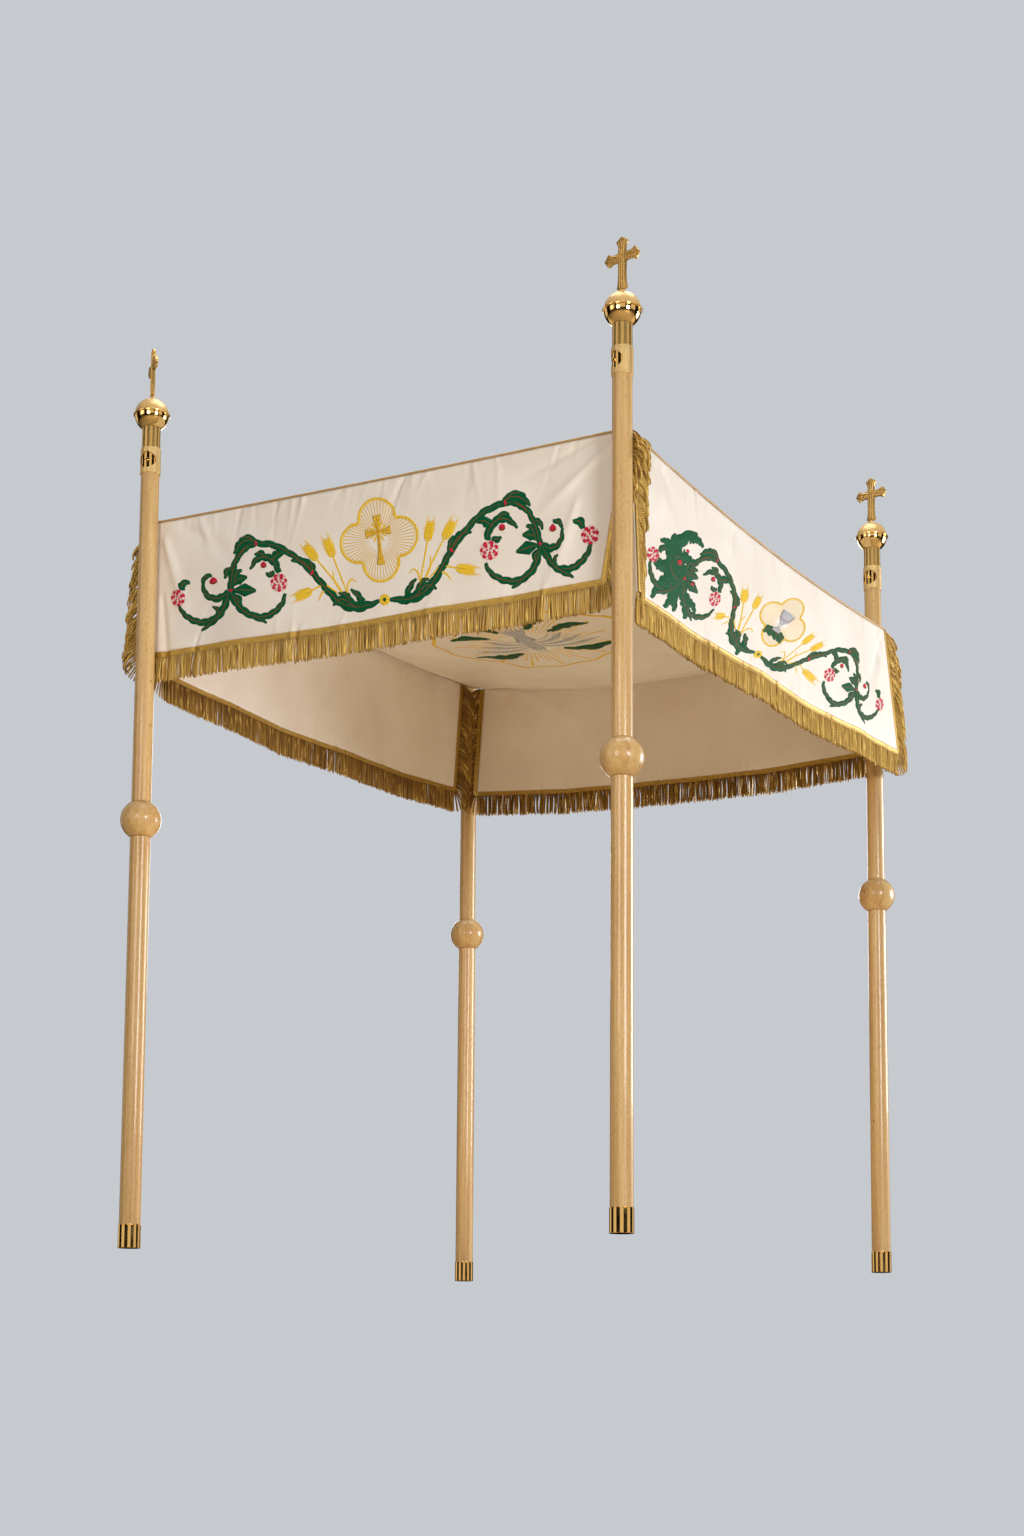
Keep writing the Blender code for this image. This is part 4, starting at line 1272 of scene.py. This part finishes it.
# Half of the border's scroll as leaves and stems: (points, half widths, teeth, layer)
SCROLL = (
    (((14, 40), (48, 34), (88, 36), (124, 54), (158, 94), (190, 138), (232, 182), (280, 216), (330, 229)),
     (3, 8, 8.5, 7, 6, 5.5, 5.5, 5.5, 6, 5.5), 11, 0.2),
    (((330, 229), (364, 222), (390, 196), (404, 160), (411, 128), (414, 104)),
     (5, 5.5, 5.5, 5.5, 6, 5), 6, 0.2),
    # leaves at the root, on the rise and at the crest
    (((52, 30), (84, 38), (108, 56), (124, 58), (142, 46)), (4, 8, 8, 6, 2), 4, 0.0),
    (((60, 44), (74, 66), (90, 80)), (6, 6, 2), 2, 0.0),
    (((88, 46), (106, 70), (124, 74)), (5, 6, 2), 2, 0.0),
    (((182, 128), (198, 154), (218, 170), (242, 172)), (6, 8, 7, 2), 4, 0.1),
    (((186, 126), (186, 150), (196, 170)), (4, 6, 2), 2, 0.1),
    (((326, 228), (350, 240), (374, 234), (396, 212)), (5, 8, 8, 2), 4, 0.4),
    (((330, 232), (352, 248), (376, 246)), (4, 5, 2), 2, 0.3),
    (((352, 226), (374, 212), (384, 196)), (5, 6, 2), 2, 0.1),
    (((256, 196), (278, 192), (300, 172)), (3, 9, 2), 2, 0.1),
    (((398, 176), (416, 170), (424, 150)), (3, 6, 2), 2, 0.1),
    # inner curl, its tail and its arch over the rose
    (((414, 116), (402, 86), (384, 60), (356, 42), (326, 24)), (6, 7, 7, 6, 2), 5, 0.0),
    (((366, 48), (336, 40), (304, 48), (278, 68), (268, 92)), (5, 6, 6, 5, 3), 5, 0.1),
    (((278, 146), (286, 172), (308, 190), (334, 188), (356, 164)), (5, 7, 7, 6, 2), 5, 0.1),
    (((306, 186), (322, 202), (340, 200)), (3, 6, 2), 2, 0.1),
    (((290, 150), (304, 144), (314, 150)), (3, 6, 2), 2, 0.1),
    # outer curl, its tail and the bud's curl
    (((416, 118), (428, 88), (446, 62), (470, 44), (500, 26)), (6, 7, 7, 6, 2), 5, 0.0),
    (((464, 52), (496, 48), (524, 60), (544, 80), (552, 100)), (5, 6, 6, 5, 3), 5, 0.1),
    (((418, 116), (438, 104), (462, 106), (478, 122), (482, 146)), (5, 7, 6, 5, 3), 4, 0.1),
    (((482, 146), (474, 162), (456, 166)), (3, 5, 3), 2, 0.2),
    (((448, 58), (452, 76), (464, 84)), (4, 5, 1.5), 2, 0.0),
    # leaves on twigs between the curls
    (((408, 128), (392, 142), (366, 146)), (2, 9, 2), 0, 0.3),
    (((406, 116), (380, 114), (346, 108)), (2, 10, 2), 0, 0.3),
    (((408, 106), (396, 92), (394, 74)), (2, 7, 2), 0, 0.3),
    (((404, 134), (392, 160), (378, 166)), (2, 6, 2), 0, 0.3),
    (((536, 136), (532, 154), (514, 156)), (4, 7, 3), 2, 0.2),
)

# Broad acanthus leaves that fill the scroll's curls: (points, half widths)
THICKET = (
    (((426, 60), (436, 120), (452, 180), (436, 230), (402, 262)), (12, 18, 17, 13, 4)),
    (((446, 120), (470, 170), (476, 216)), (8, 13, 4)),
    (((420, 230), (392, 246), (362, 238)), (8, 8, 3)),
    (((470, 160), (492, 176), (516, 168)), (8, 8, 3)),
    (((360, 90), (400, 96), (446, 110), (496, 108)), (6, 14, 16, 8)),
    (((350, 132), (390, 138), (430, 148)), (5, 12, 10)),
    (((402, 80), (400, 36), (410, 6)), (13, 10, 4)),
    (((440, 90), (460, 44), (464, 8)), (12, 9, 4)),
    (((380, 90), (340, 58), (318, 16)), (12, 14, 5)),
    (((346, 68), (312, 66), (292, 50)), (8, 8, 3)),
    (((476, 100), (500, 112), (512, 136)), (10, 9, 3)),
    (((416, 70), (424, 110), (410, 150)), (12, 16, 10)),
    (((392, 60), (376, 90), (392, 130)), (10, 14, 8)),
    (((546, 40), (572, 56), (598, 46)), (5, 10, 8)),
    (((576, 54), (570, 28), (558, 8)), (9, 8, 3)),
    (((352, 186), (380, 176), (424, 176)), (4, 9, 12)),
    (((20, 34), (28, 20), (24, 4)), (4, 6, 3)),
    (((532, 18), (560, 42), (596, 56)), (8, 17, 12)),
    (((430, 100), (396, 60), (368, 14)), (12, 14, 5)),
)
THICKET_SHIFT = 34
THICKET_SPREAD = 1.15


def scroll():
    """One half of the border's scroll, growing from the middle of the hem towards its end."""
    shapes = []
    for leaf in SCROLL:
        shapes += veined(*leaf)
    # red joints, buds and roses
    for x, y, dx, dy in ((188, 134, 5, -5), (332, 229, 0, 7), (412, 118, 6, 0)):
        shapes.append(Shape("red", [(x - dx, y - dy), (x, y), (x + dx, y + dy)], (1, 3.0, 1), 0, 1.8))
    for x, y, size in ((318, 172, 8), (454, 150, 10)):
        bud = [(x - size, y), (x, y + 1), (x + size, y)]
        shapes.append(Shape("red", bud, (1.5, size * 0.8, 1.5), 3, 0.8))
        shapes.append(Shape("brown", [(x - size, y - 4), (x, y - 6), (x + size, y - 4)], (1, 2.5, 1), 0, 1.2))
    shapes += rose(281, 121, 22, 0.3)
    shapes += rose(552, 118, 20.5, 1.1)
    # wheat
    shapes += wheat((100, 62), (112, 112), (128, 168), 44)
    shapes += wheat((108, 66), (140, 120), (172, 166), 44)
    shapes += wheat((120, 72), (160, 100), (196, 90), 42)
    for blade in (
        ((100, 62), (96, 92), (84, 104), (72, 96)), ((116, 76), (130, 104), (132, 132)),
        ((146, 90), (166, 82), (180, 62)),
    ):
        shapes.append(Shape("yellow", blade, (1.2, 1.8, 0.9), 0, 0.2))
    return shapes


def thicket():
    """The broad leaves moved into place, and red buds between them."""
    shapes = []
    for points, widths in THICKET:
        points = [(x + THICKET_SHIFT, y) for x, y in points]
        shapes.append(Shape("green", points, [width * THICKET_SPREAD for width in widths], 4, -0.2))
    for x, y in ((452, 152), (412, 118), (376, 120), (442, 196)):
        shapes.append(Shape("red", [(x - 7, y), (x, y + 1), (x + 7, y)], (1.5, 5.0, 1.5), 0, 1.0))
    return shapes


def changed(shapes, change):
    """The shapes with each of their points changed."""
    return [shape._replace(points=[change(*point) for point in shape.points]) for shape in shapes]


def moved(shapes, dx, dy):
    return changed(shapes, lambda x, y: (dx + x, dy + y))


def quatrefoil(reach, lobe_radius, count):
    """A closed outline of four round lobes, with this many points on each."""
    meeting = (reach + sqrt(2 * lobe_radius**2 - reach**2)) / 2
    half_turn = math.atan2(meeting, meeting - reach)
    points = []
    for quarter in range(4):
        middle = quarter * pi / 2
        for n in range(count):
            angle = middle + mix(-1, 1, (n + 0.5) / count) * half_turn
            points.append(reach * pointing(middle) + lobe_radius * pointing(angle))
    return [*points, points[0]]


def medallion(emblem):
    """A gold quatrefoil with rays, round the given shapes."""
    shapes = [
        Shape("yellow", quatrefoil(54, 49, 20), (2.0, 2.0), 0, 0.6),
        Shape("yellow", quatrefoil(52, 45, 20), (0.6, 0.6), 0, 0.3),
    ]
    outline = np.array(quatrefoil(52, 46, 40))
    bearing = np.arctan2(outline[:, 1], outline[:, 0])
    far = np.linalg.norm(outline, axis=1)
    order = np.argsort(bearing)
    for ray in range(RAYS):
        angle = -pi + (ray + 0.5) / RAYS * 2 * pi
        reach = float(np.interp(angle, bearing[order], far[order], period=2 * pi))
        way = pointing(angle)
        shapes.append(Shape("gold", [way * (26 if ray % 2 else 38), way * (reach - 3)], (0.6, 1.0), 0, -0.1))
    return shapes + emblem


def plain_cross():
    """A gold cross with short rays round the crossing of its arms."""
    shapes = []
    for x0, y0, x1, y1 in ((0, -62, 0, 62), (-34, 20, 34, 20)):
        bar = [(x0, y0), ((x0 + x1) / 2, (y0 + y1) / 2), (x1, y1)]
        groove = [(x0 * 0.9, mix(y1, y0, 0.95)), (x1 * 0.9, mix(y0, y1, 0.95))]
        shapes.append(Shape("gold", bar, (7.5, 3.6, 3.0, 3.6, 7.5), 0, 0.8))
        shapes.append(Shape("brown", groove, (0.4, 0.5, 0.4), 0, 2.2))
    for degrees in range(0, 360, 30):
        if degrees % 90:
            way = pointing(radians(degrees))
            ray = [np.array([0, 20]) + way * reach for reach in (10, 20, 29)]
            shapes.append(Shape("yellow", ray, (0.6, 1.8, 0.4), 0, 0.5))
    return shapes


def cup_on_leaves():
    """A plain silver cup standing on green leaves."""
    shapes = [
        Shape("grey", [(0, -8), (0, 8), (0, 22), (0, 40)], (7, 22, 28, 30), 0, 0.4),
        Shape("grey", [(0, -34), (0, -18), (0, -6)], (5, 6, 9), 0, 0.5),
        Shape("grey", [(0, -44), (0, -38), (0, -30)], (24, 21, 6), 0, 0.6),
        Shape("white", [(-29, 41), (0, 43), (29, 41)], (1.2, 2.2, 1.2), 0, 1.6),
        Shape("white", [(-10, -20), (0, -18), (10, -20)], (1.5, 3.2, 1.5), 0, 1.8),
        Shape("brown", [(-20, 12), (0, 6), (20, 12)], (0.4, 0.9, 0.4), 0, 1.8),
    ]
    for x, lean in ((-34, -14), (-12, -5), (12, 5), (34, 14)):
        shapes += veined([(x * 0.5, -40), (x, -56), (x + lean, -72)], (6, 12, 3), 3, 0.1)
    shapes += veined([(-46, -50), (0, -46), (46, -50)], (5, 12, 5), 6, 0.0)
    return shapes


def hem_flower():
    """A yellow flower with six petals and a green heart."""
    shapes = []
    for petal in range(6):
        way = pointing(petal * pi / 3 + 0.3)
        shapes.append(Shape("yellow", [way * 3, way * 8.5, way * 14], (2, 5.4, 2.2), 0, 1.0))
    shapes.append(Shape("green", [(-4.2, 0), (0, 0), (4.2, 0)], (1, 4, 1), 0, 2.4))
    return shapes


def border(emblem, mass=False):
    """The whole border in millimetres from the middle of the hem: both halves of the scroll, the flower
    and the medallion. A border with mass has the thicket in its left half."""
    half = scroll()
    left = changed(half + thicket() if mass else half, lambda x, y: (-x, y))
    return left + half + moved(hem_flower(), 0, 41) + moved(medallion(emblem), 0, MEDALLION_HEIGHT)


# How a border lies on its valance: its middle at the medallion's height, how far it leans with its height
# near the middle and towards the ends, how far its ends move along, its slope, and its spread along and up
Layout = namedtuple("Layout", "middle lean end_lean end_shift tilt stretch rise")


def embroider(name, shapes, lay):
    names = sorted({shape.thread for shape in shapes})
    mesh = skinned_mesh(name, [stitched(shape, lay, names.index(shape.thread)) for shape in shapes])
    return keep(name, mesh, [THREADS[thread] for thread in names])


def on_valance(valance, layout):
    width = (valance.top_to - valance.top_from + valance.hem_to - valance.hem_from) / 2
    limit = width / 2 - EDGE_MARGIN

    def lay(x, y, off):
        y = y * layout.rise + x * layout.tilt
        lean = mix(layout.lean, layout.end_lean, soft_step((np.abs(x) - 150) / 150))
        shift = layout.middle + layout.end_shift * soft_step((np.abs(x) - 350) / 200)
        at = (shift + x * layout.stretch + lean * (y - MEDALLION_HEIGHT * layout.rise)) * MM
        up = np.maximum(y, HEM_MARGIN) * MM / CLOTH_DROP
        return drape(valance, 0.5 + np.clip(at, -limit, limit) / width, up, 0.0, off)

    return lay


def wavy_frame():
    """A closed gold line in four broad lobes with fine waves."""
    line = []
    for n in range(97):
        angle = n / 96 * 2 * pi
        radius = 236 * (1 + 0.13 * abs(cos(2 * angle)) ** 0.8 + 0.022 * sin(16 * angle))
        line.append(radius * pointing(angle) * (1, 0.86))
    return Shape("yellow", line, (3.0, 3.0), 0, 0.4)


def wing_and_spray(hand):
    """A wing of seven feathers and three green leaves, on the left or the right."""
    shapes = []
    for feather in range(7):
        t = feather / 6
        root = (hand * 14, mix(34, -4, t))
        bend = (hand * mix(96, 62, t), mix(66, -20, t))
        tip = (hand * mix(196, 92, t), mix(64, -62, t))
        thread = "grey" if feather % 2 else "white"
        shapes.append(Shape(thread, [root, bend, tip], (6, 10, 9, 2), 0, 0.3 + 0.1 * feather))
    for points, width in (
        (((60, 76), (130, 104), (206, 92)), 15), (((84, -58), (140, -78), (198, -62)), 13),
        (((40, -96), (70, -136), (116, -148)), 12),
    ):
        shapes += veined([(hand * x, y) for x, y in points], (5, width, 3), 3, 0.1)
    return shapes


def ceiling_shapes():
    """A bird with green sprays on gold rays, in a wavy gold frame, seen from below."""
    shapes = [wavy_frame()]
    for ray in range(RAYS):
        way = pointing(ray / RAYS * 2 * pi + 0.05)
        near, far = (84, 212) if ray % 4 == 0 else (78, 128 + 34 * (ray % 2))
        shapes.append(Shape("yellow", [way * near, way * far], (0.6, 1.5 if ray % 4 else 2.4), 0, 0.0))
    shapes += [
        Shape("grey", [(0, -56), (0, -20), (0, 16), (0, 46), (0, 66)], (15, 24, 27, 20, 12), 0, 0.6),
        Shape("white", [(0, 58), (3, 78), (15, 86)], (11, 11, 3), 0, 0.9),
    ]
    for feather in range(-2, 3):
        tail = [(feather * 3.9, -46), (feather * 10.4, -84), (feather * 16.25, -112)]
        shapes.append(Shape("grey", tail, (4, 7, 3), 0, 0.3))
    return shapes + wing_and_spray(-1) + wing_and_spray(1)


def on_roof(x, y, off):
    """The roof's underside, with x and y in millimetres from its middle."""
    return lay_roof(0.5 + x * MM / ROOF_SIZE[0], 0.5 + y * MM / ROOF_SIZE[1], off)


LAYOUTS = {
    "front": Layout(24, -0.27, -0.27, -22, -0.022, 1.0, 1.0),
    "right": Layout(42, 1.40, 0.85, 8, 0.0, 1.25, 0.90),
    "back": Layout(0, 0.0, 0.0, 0, 0.0, 0.92, 1.0),
    "left": Layout(0, 0.0, 0.0, 0, 0.0, 1.16, 1.0),
}
BORDERS = {
    "front": border(plain_cross()), "right": border(cup_on_leaves(), mass=True),
    "back": border(plain_cross()), "left": border(cup_on_leaves()),
}

trims = {}
for valance in VALANCES:
    satin = build_valance(valance)
    seam = build_piping(valance)
    trim = build_fringe(valance)
    lay = on_valance(valance, LAYOUTS[valance.name])
    work = embroider(f"embroidery_{valance.name}", BORDERS[valance.name], lay)
    trims[valance.name] = (satin, seam, trim, work)

roof = satin_sheet("satin_roof", 130, 160, lay_roof, "roof")
ceiling = embroider("embroidery_roof", moved(ceiling_shapes(), -30, 0), on_roof)
# the roof's embroidery stands below it, which turns its faces round
ceiling.data.flip_normals()

# Each valance's satin, seam, fringe and embroidery, unpacked from trims
for valance in VALANCES:
    satin, seam, trim, work = trims[valance.name]

# ---------------------------------------------------------------- floor, lights and camera


def plane(name, size, place, turn=(0, 0, 0)):
    """A flat rectangle of the studio, turned by these degrees about X, Y and Z."""
    bm = bmesh.new()
    bmesh.ops.create_grid(bm, x_segments=1, y_segments=1, size=0.5)
    bmesh.ops.scale(bm, vec=(*size, 1), verts=bm.verts)
    thing = placed(name, mesh_of(name, bm))
    thing.location = place
    thing.rotation_euler = [radians(v) for v in turn]
    return thing


def mixed(tree, share, first, second):
    """One shader or background shading into another."""
    return add(tree, "MixShader", {0: share, 1: first, 2: second}).outputs[0]


def floor_finish():
    """Pale matte floor that runs into the pale wall. It is clear from below, so that a low camera looks
    through it."""
    made, tree, shader = material("floor", Roughness=0.9, Base_Color=linear("#CFC1A9"))
    glow = add(tree, "Emission", {"Color": linear("#C6CACF")})
    # far from the object the floor is as bright as the wall, so that no horizon shows
    coordinates = add(tree, "TexCoord")
    away = add(tree, "VectorMath", {0: coordinates.outputs["Object"]}, operation="LENGTH")
    share = add(tree, "MapRange", {
        "Value": away.outputs["Value"], "From Min": 2.0, "From Max": 18.0, "To Min": 0.84, "To Max": 1.0},
        interpolation_type="SMOOTHSTEP")
    path = add(tree, "LightPath")
    pale = worked_out(tree, "MULTIPLY", path.outputs["Is Camera Ray"], share.outputs[0])
    lit = mixed(tree, pale, shader.outputs[0], glow.outputs[0])
    side = add(tree, "NewGeometry")
    clear = add(tree, "BsdfTransparent")
    blend = mixed(tree, side.outputs["Backfacing"], lit, clear.outputs[0])
    tree.links.new(blend, tree.nodes["Material Output"].inputs["Surface"])
    return made


floor = plane("floor", (60, 60), (0, 0, 0))
floor.data.materials.append(floor_finish())

black = material("black_card", Roughness=1.0, Base_Color=linear("#070707"))[0]
CARD_SIZE = (4.4, 8.0)
CARD_RADIUS = 7.8
CARD_MIDDLE = 4.1
# Black cards round the object, seen only where something mirrors them
for degrees in (-92, -32, 28, 88, 148, -152):
    place = (*(CARD_RADIUS * pointing(radians(degrees))), CARD_MIDDLE)
    card = plane(f"black_card_{degrees % 360}", CARD_SIZE, place, (90, 0, degrees + 90))
    card.data.materials.append(black)
    card.visible_camera = False
    card.visible_shadow = False
    card.visible_diffuse = False

world = bpy.data.worlds.new("studio")
world.use_nodes = True
tree = world.node_tree
tree.nodes["Background"].inputs["Color"].default_value = linear("#DDE0E4")
tree.nodes["Background"].inputs["Strength"].default_value = 0.06
# The pale wall behind the object and the white sheets that its brass mirrors are brighter than the light
# they give
wall = add(tree, "Background", {"Color": linear("#C6CACF")})
sheets = add(tree, "Background", {"Color": linear("#FFF3E0"), "Strength": 0.85})
path = add(tree, "LightPath").outputs
mirrored_in = mixed(tree, path["Is Glossy Ray"], tree.nodes["Background"].outputs[0], sheets.outputs[0])
backdrop = mixed(tree, path["Is Camera Ray"], mirrored_in, wall.outputs[0])
tree.links.new(backdrop, tree.nodes["World Output"].inputs["Surface"])
bpy.context.scene.world = world


def soft_light(name, place, aim, size, power, colour="#FFFFFF", spread=180):
    data = bpy.data.lights.new(name, "AREA")
    data.shape = "RECTANGLE"
    data.size, data.size_y = size
    data.energy = power
    data.spread = radians(spread)
    data.color = linear(colour)[:3]
    lamp = placed(name, data)
    lamp.location = place
    lamp.rotation_euler = (Vector(aim) - Vector(place)).to_track_quat("-Z", "Y").to_euler()
    lamp.visible_camera = False
    return lamp


soft_light("key", (5.2, -3.4, 1.8), (0, 0, 1.4), (1.6, 1.6), 155)
soft_light("rear", (3.5, 3.5, 1.7), (0, 0, 1.6), (1.6, 1.6), 140)
soft_light("fill", (-3.5, -5.5, 2.6), (0, 0, 1.4), (2.0, 2.0), 22, "#FFF3E6")
soft_light("front", (0.6, -5.8, 2.0), (0, 0, 1.4), (1.6, 1.6), 74, "#FFF8F2")
warm = soft_light("warm", (1.6, -3.0, 0.2), (-0.3, 0.3, 1.6), (1.2, 0.8), 6, "#FFC070")
warm.visible_glossy = False
soft_light("top", (0.2, 0.2, 5.0), (0, 0, 1.7), (3.0, 3.0), 100)
soft_light("back", (-3.0, 4.5, 2.4), (0, 0, 1.4), (1.6, 1.6), 40)
inside = soft_light("inside", (0.45, -0.72, 0.35), (-0.62, -0.58, 1.52), (0.4, 0.4), 0.9, "#F4F6FF", 50)
inside.visible_glossy = False
soft_light("under", (0, -0.1, 0.03), (0, -0.1, 1.0), (1.4, 1.4), 4.4, "#FFC66C")

# The camera looks up from below the floor's level, from the front and a little to the right
EYE = (2.8632, -5.4515, -0.3593)
YAW, PITCH, ROLL = radians(28.11), radians(7.67), radians(0.39)
camera_data = bpy.data.cameras.new("camera")
camera_data.lens = 57.656
camera_data.sensor_width = 36.0
camera_data.shift_y = 0.20
camera_data.clip_end = 100.0
camera = placed("camera", camera_data)
aim = Matrix.Rotation(YAW, 4, "Z") @ Matrix.Rotation(radians(90) + PITCH, 4, "X")
camera.matrix_world = Matrix.Translation(EYE) @ aim @ Matrix.Rotation(ROLL, 4, "Z")
bpy.context.scene.camera = camera
bpy.context.scene.view_settings.view_transform = "Standard"
